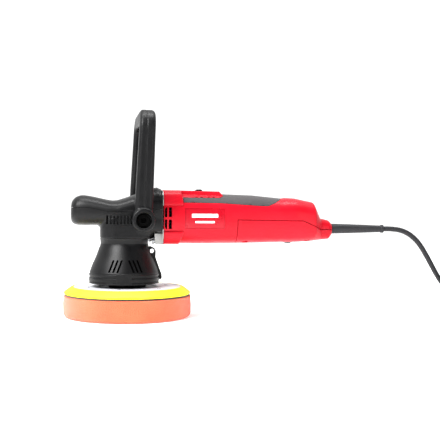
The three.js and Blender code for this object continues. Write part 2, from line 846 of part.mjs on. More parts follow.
function barrelShell() {
  const outer = loft(BARREL, BARREL_SQUARE, SIDES);
  const body = BARREL.filter(([x]) => x < 220);
  const first = [HOUSING_FRONT - 2, ...BARREL[0].slice(1)];
  const hollow = loft([...thinned([first, ...body.slice(1)], WALL), ...HOLLOW_TAIL], BARREL_SQUARE, 16);

  const shoulder = loft(
    [
      [HOUSING_FRONT, 31.3, 149.1, 85.4],
      [70, 31.3, 149.1, 85.4],
    ],
    5,
  );
  const upperBlock = [
    [HOUSING_FRONT, 131.7],
    [66.3, 131.7],
    [63.3, 150],
    [HOUSING_FRONT, 150],
  ];
  const lowerBlock = [
    [HOUSING_FRONT, 84],
    [60.5, 84],
    [66.8, 100.6],
    [HOUSING_FRONT, 100.6],
  ];
  const blocks = [upperBlock, lowerBlock].map((outline) => slab(outline, "y", -40, 40));
  const shoulders = blocks.map((block) => common(shoulder, block));

  const railSide = [
    [62, 139],
    [62, 148.8],
    [110.3, 148],
    [114.4, 143.6],
    [114.4, 139],
  ];
  const railEnd = (spare) => [
    [-18.5 - spare, 130],
    [18.5 + spare, 130],
    [15.5 + spare, 152],
    [-15.5 - spare, 152],
  ];
  const rail = common(slab(railSide, "y", -20, 20), slab(railEnd(0), "x", 60, 118));
  const railRoom = slab(railEnd(GAP), "x", 60, 117);
  return { outer: join(outer, ...shoulders, rail), hollow, skin: outer, railRoom };
}

const POSTS = [
  [142, 12],
  [142, -12],
  [219, 9],
  [219, -9],
];

function barrel() {
  const { outer, hollow, skin, railRoom } = barrelShell();
  const inset = (depth) => loft(thinned(BARREL, depth), BARREL_SQUARE, SIDES);
  const gripRoom = cut(
    slab(outset(GRIP_OUTLINE, GAP), "y", -40, 40),
    inset(GRIP_DEPTH + GAP),
    railRoom,
  );
  const gripSlab = common(skin, slab(GRIP_OUTLINE, "y", -40, 40));
  put("soft_grip", "rubber", cut(gripSlab, inset(GRIP_DEPTH), railRoom));

  const bearingSeat = ring("x", 11.3, 13.8, 121.5, 130, 24);
  const bulkhead = cut(
    common(skin, box(121.5, 123, -40, 40, 80, 150)),
    rod("x", 9, 115, 130, [0, MOTOR_Z], 24),
  );
  const posts = POSTS.map(([x, y]) => common(skin, rod("z", 4.4, 60, 160, [x, y], 6)));
  const full = join(cut(outer, hollow), bearingSeat, bulkhead, ...posts);

  const label = labelRegion();
  const vents = [];
  for (const [x0, x1] of [[44.6, 47.4], [49.3, 52.9]]) {
    for (const [z0, z1] of [[117.7, 128.7], [103.9, 114.7]]) {
      vents.push(box(x0, x1, -40, 40, z0, z1));
    }
  }
  const switchRecess = box(69.7, 100.6, -7.3, 7.3, 147.2, 155);
  const switchSlot = box(84.7 - SWITCH_TRAVEL, 90.3, -3.3, 3.3, 140, 155);
  const rodChannel = box(72, 113.5, -7.5, 7.5, 136, 145.6);
  const caseHoles = SCREW_PLACES.map(([y, z]) => rod("x", 2.3, 40, 58, [y, z], 6));
  const cordHole = rod("x", 6.4, GUARD_START - 3, 260, [0, CORD_Z], 10);
  const pilots = POSTS.map(([x, y]) => rod("z", 1.9, 60, 121, [x, y], 6));
  const counterbores = POSTS.map(([x, y]) => rod("z", 3.9, 60, 97, [x, y], 8));
  const shaftRoom = rod("x", 9, 115, 133, [0, MOTOR_Z], 24);
  const switchRoom = box(120, 124, -8.4, 8.4, 131.4, 139);

  const behind = [...REAR_SEAM, [270, 60]];
  const rearRegion = REAR_SEAM.map(([x, z], i) => [i < 2 ? x + GAP : x, i === 0 ? z : z - GAP]);
  const upper = cut(
    full,
    slab(behind, "y", -60, 60),
    gripRoom,
    switchRecess,
    switchSlot,
    rodChannel,
    cordHole,
    shaftRoom,
    switchRoom,
    ...vents,
    ...caseHoles,
    ...pilots,
    ...label.rooms,
  );
  put("motor_housing", "red", upper);

  const dialSlot = box(DIAL_X - 12, DIAL_X + 12, -4.6, 4.6, 80, 96);
  const lowerShell = common(full, slab([...rearRegion, [270, 60]], "y", -60, 60));
  const seatRoom = rod("x", 14.2, 120, 132, [0, MOTOR_Z], 24);
  const screwRooms = [...pilots, ...counterbores];
  put("rear_lower_cover", "red", cut(lowerShell, dialSlot, cordHole, seatRoom, ...screwRooms));

  put("label_plate", "label", label.plate);

  for (const [i, [x, y]] of POSTS.entries()) {
    const head = rod("z", 3.3, 94.4, 96.7, [x, y], 8);
    put(`rear_cover_screw_${i + 1}`, "steel", join(head, rod("z", 1.4, 96, 119, [x, y], 6)));
  }
}

// A label plate lies in a shallow recess in the barrel's left side. The right side has the recess alone.
function labelRegion() {
  const depth = 0.8;
  const outline = [
    [68.4, 104.6],
    [115, 104.6],
    [115, 127.6],
    [68.4, 127.6],
  ];
  const body = loft(thinned(BARREL, 0.25), BARREL_SQUARE, SIDES);
  const floor = loft(thinned(BARREL, 0.25 + depth), BARREL_SQUARE, SIDES);
  const deeper = loft(thinned(BARREL, 0.25 + depth + GAP), BARREL_SQUARE, SIDES);
  const plate = cut(common(body, slab(outline, "y", -40, -20)), floor);
  const rooms = [-40, 20].map((from) => cut(slab(outset(outline, GAP), "y", from, from + 20), deeper));
  return { plate, rooms };
}

// ---------------------------------------------------------------- motor

function motor() {
  const stackFront = 63.3;
  const stackBack = 97;
  const bore = 17.8;
  const flat = 21.4; // half height between the stator's flats
  const outline = sector(25.4, 25.4, 0, 359.99, [0, MOTOR_Z], 40).slice(0, 40);
  const stator = cut(
    common(slab(outline, "x", stackFront, stackBack), box(50, 110, -26, 26, MOTOR_Z - flat, MOTOR_Z + flat)),
    rod("x", bore, 50, 110, [0, MOTOR_Z], 32),
    slab(sector(bore - 1, 22.6, -34, 34, [0, MOTOR_Z]), "x", 50, 110),
    slab(sector(bore - 1, 22.6, 146, 214, [0, MOTOR_Z]), "x", 50, 110),
  );
  put("stator_core", "laminations", stator);

  for (const [name, turn] of [["field_coil_upper", 0], ["field_coil_lower", 180]]) {
    const inner = bore + 0.5;
    const outer = 22.2;
    const arc = (from, to, steps) => sector(inner, outer, from + turn, to + turn, [0, MOTOR_Z], steps);
    const bars = [[4, 31], [149, 176]].map(([from, to]) =>
      slab(arc(from, to, 2), "x", stackFront - 4, stackBack + 4),
    );
    const ends = [
      slab(arc(4, 176, 8), "x", stackFront - 4.3, stackFront - GAP),
      slab(arc(4, 176, 8), "x", stackBack + GAP, stackBack + 4.3),
    ];
    put(name, "copper", join(...bars, ...ends));
  }

  const shaft = [
    [0, 14.8],
    [2, 14.8],
    [2, 25.8],
    [4.9, 26],
    [4.9, 104],
    [3.9, 104],
    [3.9, 130],
    [0, 130],
  ];
  put("armature_shaft", "steel", turned(shaft, "x", SMALL_SIDES));

  const slots = 9;
  const slotDepth = 11.2;
  let core = ring("x", 5.2, 17.3, stackFront + 0.5, stackBack - 0.5, 18);
  let windings = join(
    ring("x", slotDepth, 16.4, stackFront - 3.8, stackFront + 0.2, 18),
    ring("x", slotDepth, 16.4, stackBack - 0.2, stackBack + 3.8, 18),
  );
  for (let i = 0; i < slots; i += 1) {
    const from = (i * 360) / slots - 8;
    const room = sector(slotDepth - GAP, 18, from, from + 16, [0, MOTOR_Z], 1);
    const bar = sector(slotDepth, 16.2, from + 1.6, from + 14.4, [0, MOTOR_Z], 1);
    core = cut(core, slab(room, "x", 60, 100));
    windings = join(windings, slab(bar, "x", stackFront - 1, stackBack + 1));
  }
  put("armature_core", "laminations", core);
  put("armature_windings", "copper", windings);
  put("commutator", "copper", ring("x", 5.2 - 1, 10.5, 104.6, 118, 24));

  const blades = 7;
  let fan = join(
    ring("x", 5.2, 24, 46.8, 48.2, 21),
    ring("x", 5.2, 9, 48, 57, 14),
  );
  for (let i = 0; i < blades; i += 1) {
    const from = (i * 360) / blades;
    fan = join(fan, slab(sector(8.5, 23.8, from, from + 5, [0, MOTOR_Z], 1), "x", 48, 57));
  }
  put("cooling_fan", "whitePlastic", fan);

  const baffle = common(
    loft([[57.8, 25.6, 141, 92.6], [59, 25.6, 141, 92.6]], BARREL_SQUARE, 16),
    box(50, 62, -25.2, 25.2, MOTOR_Z - 24, MOTOR_Z + 23),
  );
  put("air_baffle", "black", cut(baffle, rod("x", 19.5, 50, 70, [0, MOTOR_Z], 28)));
  put("rear_armature_bearing", "steel", ring("x", 4.2, 11, 123.2, 129.6, 24));

  for (const [name, side] of [["left", -1], ["right", 1]]) {
    const around = (half) => [MOTOR_Z - half, MOTOR_Z + half];
    const holder = cut(
      box(105.5, 117.5, ...span(side, 12.2, 24.4), ...around(5.5)),
      box(107.2, 115.8, ...span(side, 10, 23), ...around(3.6)),
    );
    put(`brush_holder_${name}`, "brass", holder);
    put(`carbon_brush_${name}`, "carbon", box(107.5, 115.5, ...span(side, 10.9, 20), ...around(3.3)));
  }
}

// ---------------------------------------------------------------- switch, speed control and cord entry

function controls() {
  const ridge = slab(
    [
      [83.4, 148.2],
      [83.9, 149.7],
      [85.4, 150.4],
      [90, 150.4],
      [91.5, 149.7],
      [92, 148.2],
    ],
    "y",
    -5.5,
    5.5,
  );
  const knob = join(ridge, box(76, 100, -7, 7, 147.5, 148.3), box(85, 90, -3, 3, 144.7, 147.6));
  put("switch_knob", "black", knob);
  const link = [
    [84, 142.6],
    [109.9, 142.6],
    [109.9, 134],
    [111.5, 134],
    [111.5, 144.4],
    [84, 144.4],
  ];
  put("switch_link", "black", slab(link, "y", -3.5, 3.5));
  put("switch_module", "black", box(112, 139.5, -8, 8, 131.8, 138.6));

  put("speed_module", "black", box(150, 180, -14, 14, 98, 111));
  const wheel = rod("y", DIAL_RADIUS, -4, 4, [DIAL_X, DIAL_Z], 30);
  const axle = rod("y", 2.5, -7, 7, [DIAL_X, DIAL_Z], 12);
  put("speed_dial", "black", join(wheel, axle));

  const clamp = cut(
    box(GUARD_START - 6.8, GUARD_START - 1, -8, 8, 101.5, 109.2),
    rod("x", CORD_RADIUS + GAP, 220, 240, [0, CORD_Z]),
    box(220, 240, -CORD_RADIUS - GAP, CORD_RADIUS + GAP, 100, CORD_Z),
  );
  put("cord_clamp", "black", clamp);

  const guard = turned(
    [
      [0, GUARD_START],
      [7.4, GUARD_START],
      [7.4, GUARD_START + 2.4],
      [6, GUARD_START + 2.7],
      [6, 256],
      [5.1, 290],
      [4.1, 315.5],
      [4.8, 316],
      [4.8, 318.4],
      [4.2, GUARD_END],
      [0, GUARD_END],
    ],
    "x",
    SMALL_SIDES,
  );
  put("cord_guard", "rubber", moved(guard, 0, 0, CORD_Z - MOTOR_Z));
}

// ---------------------------------------------------------------- cord, coil and plug

function cord() {
  const route = new THREE.CatmullRomCurve3(CORD_ROUTE.map((p) => new THREE.Vector3(...p)));
  const section = circle(CORD_RADIUS, [0, 0], CORD_SIDES).map(([x, y]) => new THREE.Vector2(x, y));
  const tube = new THREE.ExtrudeGeometry(new THREE.Shape(section), {
    steps: CORD_STEPS,
    bevelEnabled: false,
    extrudePath: route,
  });
  put("cord_run", "rubber", solid(tube));

  const wide = (COIL_WIDE + 0.1) * CORD_RADIUS;
  const high = COIL_TOP;
  const round = 2.4;
  const outline = [
    [COIL_RADIUS - wide + round, 0.1],
    [COIL_RADIUS + wide - round, 0.1],
    [COIL_RADIUS + wide, round],
    [COIL_RADIUS + wide, high - round],
    [COIL_RADIUS + wide - round, high],
    [COIL_RADIUS - wide + round, high],
    [COIL_RADIUS - wide, high - round],
    [COIL_RADIUS - wide, round],
    [COIL_RADIUS - wide + round, 0.1],
  ];
  put("cord_coil", "rubber", moved(turned(outline, "z", SIDES), COIL_X, COIL_Y, 0));
}

// The plug lies on the coil's outer side, in line with the last turn, with its pins towards -Y.
function plug() {
  const [x, y] = [COIL_X + COIL_RADIUS - 4, COIL_Y];
  const bottom = COIL_TOP + GAP;
  const thick = 16;
  const middle = bottom + thick / 2;
  const outline = [
    [-4.6, 24],
    [4.6, 24],
    [6, 8],
    [13, 0],
    [17.5, -8],
    [17.5, -18],
    [14.5, -22],
    [-14.5, -22],
    [-17.5, -18],
    [-17.5, -8],
    [-13, 0],
    [-6, 8],
  ].map(([u, v]) => [x + u, y + v]);
  const body = slab(outline, "z", bottom, bottom + thick);
  const pinHoles = [-9.5, 9.5].map((u) => rod("y", 2.4 + GAP, y - 30, y - 18, [x + u, middle]));
  put("plug_body", "black", cut(body, ...pinHoles));
  for (const [i, u] of [-9.5, 9.5].entries()) {
    put(`plug_pin_${i + 1}`, "steel", rod("y", 2.4, y - 41, y - 18.3, [x + u, middle]));
  }
}

padStack();
drive();
ringGear();
drivePinion();
gearCase();
shroud();
headCovers();
dHandle();
barrel();
motor();
controls();
cord();
plug();

export default polisher;
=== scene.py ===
"""Looks of a dual-action polisher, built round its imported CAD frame.

Shapes are worked out in millimetres and stored in metres. Most shells are signed distance fields: a
field gives the distance in millimetres from each point to a surface, and it is negative inside.
"""

import functools
import json
import math

import bmesh
import bpy
import numpy as np
from mathutils import Matrix, Vector


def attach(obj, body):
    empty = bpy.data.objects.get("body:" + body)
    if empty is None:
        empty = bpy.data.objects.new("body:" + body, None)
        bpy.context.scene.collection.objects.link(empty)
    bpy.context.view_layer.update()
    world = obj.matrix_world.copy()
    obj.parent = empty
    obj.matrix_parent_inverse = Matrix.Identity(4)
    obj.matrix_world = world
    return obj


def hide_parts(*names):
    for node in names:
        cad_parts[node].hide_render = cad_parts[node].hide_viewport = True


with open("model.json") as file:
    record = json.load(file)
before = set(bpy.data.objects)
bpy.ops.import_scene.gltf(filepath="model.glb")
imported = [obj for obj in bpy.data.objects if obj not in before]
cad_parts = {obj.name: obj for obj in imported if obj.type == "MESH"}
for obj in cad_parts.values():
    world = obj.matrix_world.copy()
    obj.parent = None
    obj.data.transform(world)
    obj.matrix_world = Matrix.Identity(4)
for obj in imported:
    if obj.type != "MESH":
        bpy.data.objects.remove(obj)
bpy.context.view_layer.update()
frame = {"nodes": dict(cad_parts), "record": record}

MM = 0.001

# ---- driving dimensions, millimetres

ORBIT = 4.0  # from the spindle's axis to the pad's axis
MOTOR_Z = 117.5
PIVOT_X, PIVOT_Z = 18.4, 114.0  # the D-handle's tilt axis
GAP = 0.3  # between pieces that touch

HEAD_HALF = 31.0
COVER_REAR = 42.0
COVER_BOTTOM = 92.6
COVER_WALL = 2.5
HOUSING_FRONT = 43.6
TAIL_END = 250.8
BARREL_WALL = 4.2
GRIP_DEPTH = 1.8
CORD_Z = 104.3
GUARD_START, GUARD_END = 231.5, 319.0
CORD_RADIUS = 3.15

SHROUD_BOTTOM, SHROUD_TOP = 39.8, 92.2
SHROUD_RADIUS = 41.2

HANDLE_HALF = 52.5
HANDLE_TOP = 239.4
HANDLE_LEAN = 1.7  # degrees to the rear
ARM_WIDTH, ARM_DEPTH = 19.8, 15.0
ARM_TAPER, TAPER_START = 2.2, 150.0  # the front face moves back by this much towards the top
ARM_BEND = 14.0
ARM_END_IN, ARM_END_OUT, ARM_END_RADIUS = 44.5, 62.0, 12.75
BOLT_SEAT = 52.0
BOLT_INNER, BOLT_OUTER = 30.4, 57.5  # from y, to y
BOLT_HEAD_RADIUS, BOLT_SHANK_RADIUS = 7.2, 4.0

# x, half width, top, bottom
HEAD = [
    [-62.3, 11, 130.4, 115.0],
    [-60.9, 17.5, 135.2, 110.8],
    [-56.6, 22.3, 139.9, 108.1],
    [-49.3, 24.6, 142.2, 107.4],
    [-38, 26.4, 140.9, 107.4],
    [-20, 29.4, 137.2, 107.4],
    [-11.4, 30.4, 136.6, 107.4],
    [-1, HEAD_HALF, 139.2, 107.4],
    [33, HEAD_HALF, 151.2, 107.4],
    [39, HEAD_HALF, 151.2, 107.4],
    [COVER_REAR + 2, HEAD_HALF, 149.2, 107.4],
]
BARREL = [
    [HOUSING_FRONT, 31, 146.8, 86.3],
    [80, 31, 146.3, 86.1],
    [117, 30.3, 145.0, 86.4],
    [152, 28.4, 144.0, 87.0],
    [188, 26.3, 140.6, 87.9],
    [192.5, 26.1, 141.4, 87.9],
    [204, 25.8, 140.9, 87.9],
    [227, 24, 136.3, 89.5],
    [236.5, 13.5, 117.0, 90.7],
    [247.5, 12, 114.6, 91.7],
    [TAIL_END, 9.5, 110.8, 96.4],
]
HOLLOW_TAIL = [
    [222.5, 20, 132.4, 93.6],
    [230.9, 12, 114.5, 95.0],
    [234.5, 10.5, 112.6, 95.6],
]
# Outlines seen from the side: x, z
COVER_SEAM = [[-80, 128], [-42, 128], [-20, 123.6], [12, 123.6], [34, 126.4], [60, 126.4]]
REAR_SEAM = [[130.2, 60], [130.2, 115.1], [211.3, 114.3], [234.5, 104], [280, 104]]
GRIP_OUTLINE = [
    [66.9, 134.7],
    [66.9, 140.3],
    [111.8, 140.3],
    [118.5, 155],
    [193, 155],
    [189.5, 142.3],
    [183.8, 138.6],
    [177.3, 135],
    [168.3, 131.3],
    [160.5, 131.3],
    [110.8, 134.2],
]
SEAM_GAP = 0.8  # round the rear cover
LABEL = [68.4, 115.0, 104.6, 127.6]  # from x, to x, from z, to z
LABEL_DEPTH = 0.8
LABEL_SINK = 0.25
BARS = [[76, 107, 117.2, 121.6], [80, 103, 110.8, 113.2]]  # printed on the label
BAR_PROUD = 0.18

LOUVRES, LOUVRE_START, LOUVRE_PITCH = 8, -22.2, 3.95
DIAL_X, DIAL_Z = 197.0, 99.9
POSTS = [[142, 12], [142, -12], [219, 9], [219, -9]]

# The cord's route from the guard to the coil, along its middle, as in the CAD source
CORD_ROUTE = [
    [GUARD_END + GAP, 0, CORD_Z],
    [326, 0, 104.3],
    [333, 0, 103.9],
    [342, 0, 102.4],
    [351, 0, 98.8],
    [360, 0, 92.4],
    [368, 0, 83.6],
    [375, 0.5, 73.2],
    [382, 1, 61.8],
    [389, 2, 50.2],
    [397, 3, 38.8],
    [406, 3.6, 28],
    [415.5, 4, 18.6],
    [426, 4.2, 10.2],
    [436, 4.2, CORD_RADIUS + 0.1],
]
COIL_X, COIL_Y, COIL_RADIUS = 436.0, -47.0, 37.8
COIL_WIDE, COIL_HIGH = 3, 4
COIL_TOP = 2 * COIL_HIGH * CORD_RADIUS
PLUG_X, PLUG_BACK, PLUG_FRONT = COIL_X + COIL_RADIUS - 4, -23.0, -69.0
PLUG_LOW, PLUG_HIGH = COIL_TOP + 0.3, COIL_TOP + 16.3
PLUG_Z = (PLUG_LOW + PLUG_HIGH) / 2
TIE_AT = 200.0  # degrees round the coil from +X

# ---- camera

AZIMUTH, PITCH, ROLL = -9.37, 0.907, 0.479  # degrees
CAMERA_DISTANCE = 1.0188
CAMERA_TARGET = Vector((0.11405, 0.0, 0.11408))
LENS = 69.42
FRONT_DIM = 0.12  # the world's strength in front of the polisher


def make_camera():
    a, e, r = (math.radians(v) for v in (AZIMUTH, PITCH, ROLL))
    back = Vector((math.sin(a) * math.cos(e), -math.cos(a) * math.cos(e), math.sin(e)))
    level = (-back).cross(Vector((0, 0, 1))).normalized()
    rise = level.cross(-back)
    right = level * math.cos(r) + rise * math.sin(r)
    up = rise * math.cos(r) - level * math.sin(r)
    camera = bpy.data.objects.new("camera", bpy.data.cameras.new("camera"))
    turn = Matrix((right, up, back)).transposed().to_4x4()
    camera.matrix_world = Matrix.Translation(CAMERA_TARGET + back * CAMERA_DISTANCE) @ turn
    camera.data.lens = LENS
    camera.data.clip_end = 30
    bpy.context.collection.objects.link(camera)
    bpy.context.scene.camera = camera


make_camera()

# ---- materials


def add_node(tree, kind, **inputs):
    """A new shader node. A named input is linked if an output is given for it, and set if not."""
    node = tree.nodes.new("ShaderNode" + kind)
    for name, value in inputs.items():
        socket = node.inputs[name.replace("_", " ")]
        if isinstance(value, bpy.types.NodeSocket):
            tree.links.new(value, socket)
        else:
            socket.default_value = value
    return node


FINISHES = {}  # materials by name; most names are material slots of the frame


class Shader:
    """A Principled material whose nodes are added step by step, kept in FINISHES."""

    def __init__(self, name, roughness, metallic=0.0, **fixed):
        material = bpy.data.materials.new(name)
        material.use_nodes = True
        FINISHES[name] = self.material = material
        self.tree = material.node_tree
        self.base = self.tree.nodes["Principled BSDF"].inputs
        for socket, value in {"Roughness": roughness, "Metallic": metallic, **fixed}.items():
            self.base[socket.replace("_", " ")].default_value = value
        self.place = self.node("TexCoord").outputs["Object"]
        self.bump = None

    def node(self, kind, **inputs):
        return add_node(self.tree, kind, **inputs)

    def noise(self, per_metre, detail=3.0, roughness=0.55, stretch=None):
        """Clouds, which may be stretched by a factor along each axis."""
        place = self.place
        if stretch:
            place = self.node("Mapping", Vector=place, Scale=stretch).outputs["Vector"]
        look = {"Scale": per_metre, "Detail": detail, "Roughness": roughness}
        return self.node("TexNoise", Vector=place, **look).outputs["Fac"]

    def cells(self, per_metre):
        return self.node("TexVoronoi", Vector=self.place, Scale=per_metre).outputs["Distance"]

    def ranged(self, value, low, high, to_low, to_high):
        limits = {"From_Min": low, "From_Max": high, "To_Min": to_low, "To_Max": to_high}
        return self.node("MapRange", Value=value, **limits).outputs["Result"]

    def edges(self, amount):
        """From 0 on flat faces to amount on worn convex edges."""
        pointed = self.node("NewGeometry").outputs["Pointiness"]
        return self.ranged(pointed, 0.53, 0.60, 0.0, amount)

    def blend(self, share, first, second):
        """A colour between two, each a colour or an output."""
        node = self.tree.nodes.new("ShaderNodeMix")
        node.data_type = "RGBA"
        self.tree.links.new(share, node.inputs["Factor"])
        for socket, colour in (("A", first), ("B", second)):
            target = [s for s in node.inputs if s.name == socket and s.type == "RGBA"][0]
            if isinstance(colour, tuple):
                target.default_value = (*colour, 1)
            else:
                self.tree.links.new(colour, target)
        return [s for s in node.outputs if s.type == "RGBA"][0]

    def patches(self, value, first, second):
        """Two colours in patches that are clearer than a blend's."""
        return self.blend(self.ranged(value, 0.3, 0.7, 0, 1), first, second)

    def colour(self, output):
        self.tree.links.new(output, self.base["Base Color"])

    def rough(self, value, low, high):
        self.tree.links.new(self.ranged(value, 0.3, 0.7, low, high), self.base["Roughness"])

    def relief(self, value, depth, strength):
        """Adds bumps of a depth in metres."""
        node = self.node("Bump", Height=value, Distance=depth, Strength=strength)
        if self.bump:
            self.tree.links.new(self.bump, node.inputs["Normal"])
        self.bump = node.outputs["Normal"]
        self.tree.links.new(self.bump, self.base["Normal"])

    def patterned(self, pattern, first, second, rough, depth, strength, bumps=None):
        """One pattern for colour, roughness and bumps, or the bumps have one of their own."""
        self.colour(self.blend(pattern, first, second))
        self.rough(pattern, *rough)
        self.relief(bumps or pattern, depth, strength)


def red_plastic():
    s = Shader("red_shell", 0.36, Specular_IOR_Level=0.24)
    clouds = s.noise(22, 4)
    body = s.patches(clouds, (0.46, 0.005, 0.017), (0.54, 0.008, 0.025))
    s.colour(s.blend(s.edges(0.35), body, (0.80, 0.04, 0.07)))
    s.rough(clouds, 0.32, 0.42)
    s.relief(s.noise(1500, 2), 0.00008, 0.35)
    s.relief(s.noise(60, 2), 0.0002, 0.15)


def label_film():
    s = Shader("label", 0.3, Specular_IOR_Level=0.35)
    colours = (0.36, 0.003, 0.014), (0.43, 0.006, 0.020)
    s.patterned(s.noise(70, 3), *colours, (0.24, 0.36), 0.00004, 0.3, s.noise(900, 2))


def label_ink():
    s = Shader("label_ink", 0.45)
    colours = (0.78, 0.76, 0.76), (0.9, 0.9, 0.9)
    s.patterned(s.noise(900, 3), *colours, (0.4, 0.55), 0.00003, 0.4)


def black_plastic():
    s = Shader("black_plastic", 0.40, Specular_IOR_Level=0.31)
    clouds = s.noise(30, 4)
    body = s.patches(clouds, (0.002, 0.002, 0.0025), (0.006, 0.006, 0.0065))
    s.colour(s.blend(s.edges(0.2), body, (0.05, 0.05, 0.053)))
    s.rough(clouds, 0.35, 0.45)
    s.relief(s.cells(1700), 0.00008, 0.3)
    s.relief(s.noise(300, 3), 0.00008, 0.15)


def shade_black_finish():
    """Painted shade: a flat black for the sheets set inside the shroud, the louvres and the vents,
    and for the pivot bolts, standing in for the shade in those hollows.
    """
    s = Shader("painted_shade_black", 1.0, Specular_IOR_Level=0.05)
    colours = (0.001, 0.001, 0.001), (0.008, 0.008, 0.008)
    s.patterned(s.cells(1400), *colours, (0.9, 1.0), 0.0003, 0.8)


def soft_rubber():
    s = Shader("soft_grip", 0.75, Sheen_Weight=0.12, Sheen_Roughness=0.5)
    clouds = s.noise(35, 4)
    dimples = s.cells(650)
    body = s.blend(clouds, (0.036, 0.033, 0.035), (0.056, 0.051, 0.053))
    # The pits of the dimples are painted darker: painted shade.
    s.colour(s.blend(s.ranged(dimples, 0.0, 0.25, 0.5, 0.0), body, (0.024, 0.022, 0.023)))
    s.rough(clouds, 0.66, 0.82)
    s.relief(dimples, 0.00035, 0.5)


def cord_rubber():
    s = Shader("cord_rubber", 0.5, Specular_IOR_Level=0.4)
    colours = (0.012, 0.012, 0.014), (0.030, 0.030, 0.033)
    s.patterned(s.noise(60, 3), *colours, (0.42, 0.6), 0.00008, 0.4, s.noise(1200, 2))


def cast_aluminium():
    s = Shader("aluminium", 0.45, 0.9)
    clouds = s.noise(55, 5)
    body = s.blend(clouds, (0.21, 0.21, 0.20), (0.30, 0.30, 0.29))
    s.colour(s.blend(s.edges(0.5), body, (0.55, 0.55, 0.54)))
    s.rough(clouds, 0.38, 0.55)
    s.relief(s.noise(1100, 3, 0.7), 0.0002, 0.5)


def turned_steel():
    s = Shader("steel", 0.3, 1.0)
    rings = s.noise(90, 3, 0.6, (1, 1, 14))
    s.patterned(rings, (0.36, 0.37, 0.39), (0.56, 0.57, 0.59), (0.22, 0.38), 0.00006, 0.4)


def laminated():
    s = Shader("laminations", 0.45, 0.8)
    sheets = s.node("TexWave", Vector=s.place, Scale=320, Distortion=0.4).outputs["Fac"]
    body = s.blend(sheets, (0.10, 0.105, 0.115), (0.24, 0.245, 0.26))
    s.colour(s.blend(s.ranged(s.noise(40, 4), 0.5, 0.75, 0, 0.5), body, (0.16, 0.09, 0.06)))
    s.rough(sheets, 0.38, 0.55)
    s.relief(sheets, 0.0002, 0.6)


def wound_copper():
    s = Shader("copper", 0.35, 0.85)
    strands = s.noise(420, 2, 0.5, (0.15, 1, 1))
    s.patterned(strands, (0.42, 0.15, 0.05), (0.78, 0.36, 0.16), (0.25, 0.45), 0.0004, 0.7)


def pressed_brass():
    s = Shader("brass", 0.32, 0.95)
    drawn = s.noise(240, 3, 0.5, (0.1, 1, 1))
    s.patterned(drawn, (0.60, 0.40, 0.14), (0.78, 0.58, 0.26), (0.25, 0.42), 0.00008, 0.5)


def graphite():
    s = Shader("carbon", 0.6, 0.1)
    colours = (0.012, 0.012, 0.013), (0.045, 0.045, 0.05)
    s.patterned(s.cells(1400), *colours, (0.5, 0.7), 0.0001, 0.5)


def white_plastic():
    s = Shader("white_plastic", 0.42)
    fibres = s.noise(500, 3, 0.6, (0.25, 1, 1))
    clouds = s.noise(45, 4)
    body = s.blend(fibres, (0.60, 0.61, 0.64), (0.78, 0.79, 0.81))
    s.colour(s.blend(s.ranged(clouds, 0.5, 0.8, 0, 0.4), body, (0.42, 0.42, 0.43)))
    s.rough(clouds, 0.35, 0.5)
    s.relief(fibres, 0.00012, 0.4)


def yellow_foam():
    glow = {"Subsurface_Weight": 0.08, "Subsurface_Radius": (0.004, 0.003, 0.001)}
    s = Shader("yellow_cushion", 0.55, **glow)
    clouds = s.noise(38, 4)
    s.colour(s.patches(clouds, (0.93, 0.80, 0.008), (1.0, 0.94, 0.03)))
    s.rough(clouds, 0.48, 0.62)
    s.relief(s.cells(1100), 0.00025, 0.35)
    s.relief(s.noise(160, 3), 0.0004, 0.2)


def hook_fabric():
    s = Shader("hook", 0.95, Sheen_Weight=0.4, Sheen_Roughness=0.5)
    colours = (0.02, 0.018, 0.016), (0.09, 0.08, 0.07)
    s.patterned(s.cells(1500), *colours, (0.85, 1.0), 0.0006, 0.9)


def open_foam():
    s = Shader("foam", 0.95, Sheen_Weight=0.5, Sheen_Roughness=0.4, Specular_IOR_Level=0.2)
    pores = s.cells(1050)
    small = s.cells(2300)
    body = s.patches(s.noise(28, 4), (0.84, 0.15, 0.078), (0.92, 0.185, 0.095))
    # The pores, large and small, are painted darker in their pits: painted shade.
    deep = s.blend(s.ranged(pores, 0.0, 0.32, 0.75, 0.0), body, (0.70, 0.10, 0.045))
    s.colour(s.blend(s.ranged(small, 0.0, 0.2, 0.3, 0.0), deep, (0.78, 0.13, 0.06)))
    s.rough(pores, 0.88, 1.0)
    s.relief(pores, 0.0007, 0.8)
    s.relief(small, 0.0003, 0.6)


for add_finish in (
    red_plastic, label_film, label_ink, black_plastic, shade_black_finish, soft_rubber, cord_rubber,
    cast_aluminium, turned_steel, laminated, wound_copper, pressed_brass, graphite, white_plastic,
    yellow_foam, hook_fabric, open_foam,
):
    add_finish()

# ---- fields


def rounded_or(a, b, radius):
    """Both shapes as one, with a fillet of that radius where they meet."""
    near = np.hypot(np.maximum(radius - a, 0), np.maximum(radius - b, 0))
    return np.maximum(radius, np.minimum(a, b)) - near


def rounded_and(a, b, radius):
    """What both shapes share, with its edges rounded."""
    near = np.hypot(np.maximum(radius + a, 0), np.maximum(radius + b, 0))
    return np.minimum(-radius, np.maximum(a, b)) + near


def without(a, b, radius=0.4):
    return rounded_and(a, -b, radius)


def common(*fields):
    """What all the shapes share, with sharp edges."""
    return functools.reduce(np.maximum, fields)


def between(value, low, high):
    return np.maximum(low - value, value - high)


def block(x, y, z, low, high, radius=0.4):
    """A box with rounded edges."""
    parts = [
        np.abs(v - (a + b) / 2) - (b - a) / 2 + radius for v, a, b in zip((x, y, z), low, high)
    ]
    outside = np.sqrt(sum(np.maximum(p, 0) ** 2 for p in parts))
    inside = np.minimum(common(*parts), 0)
    return outside + inside - radius


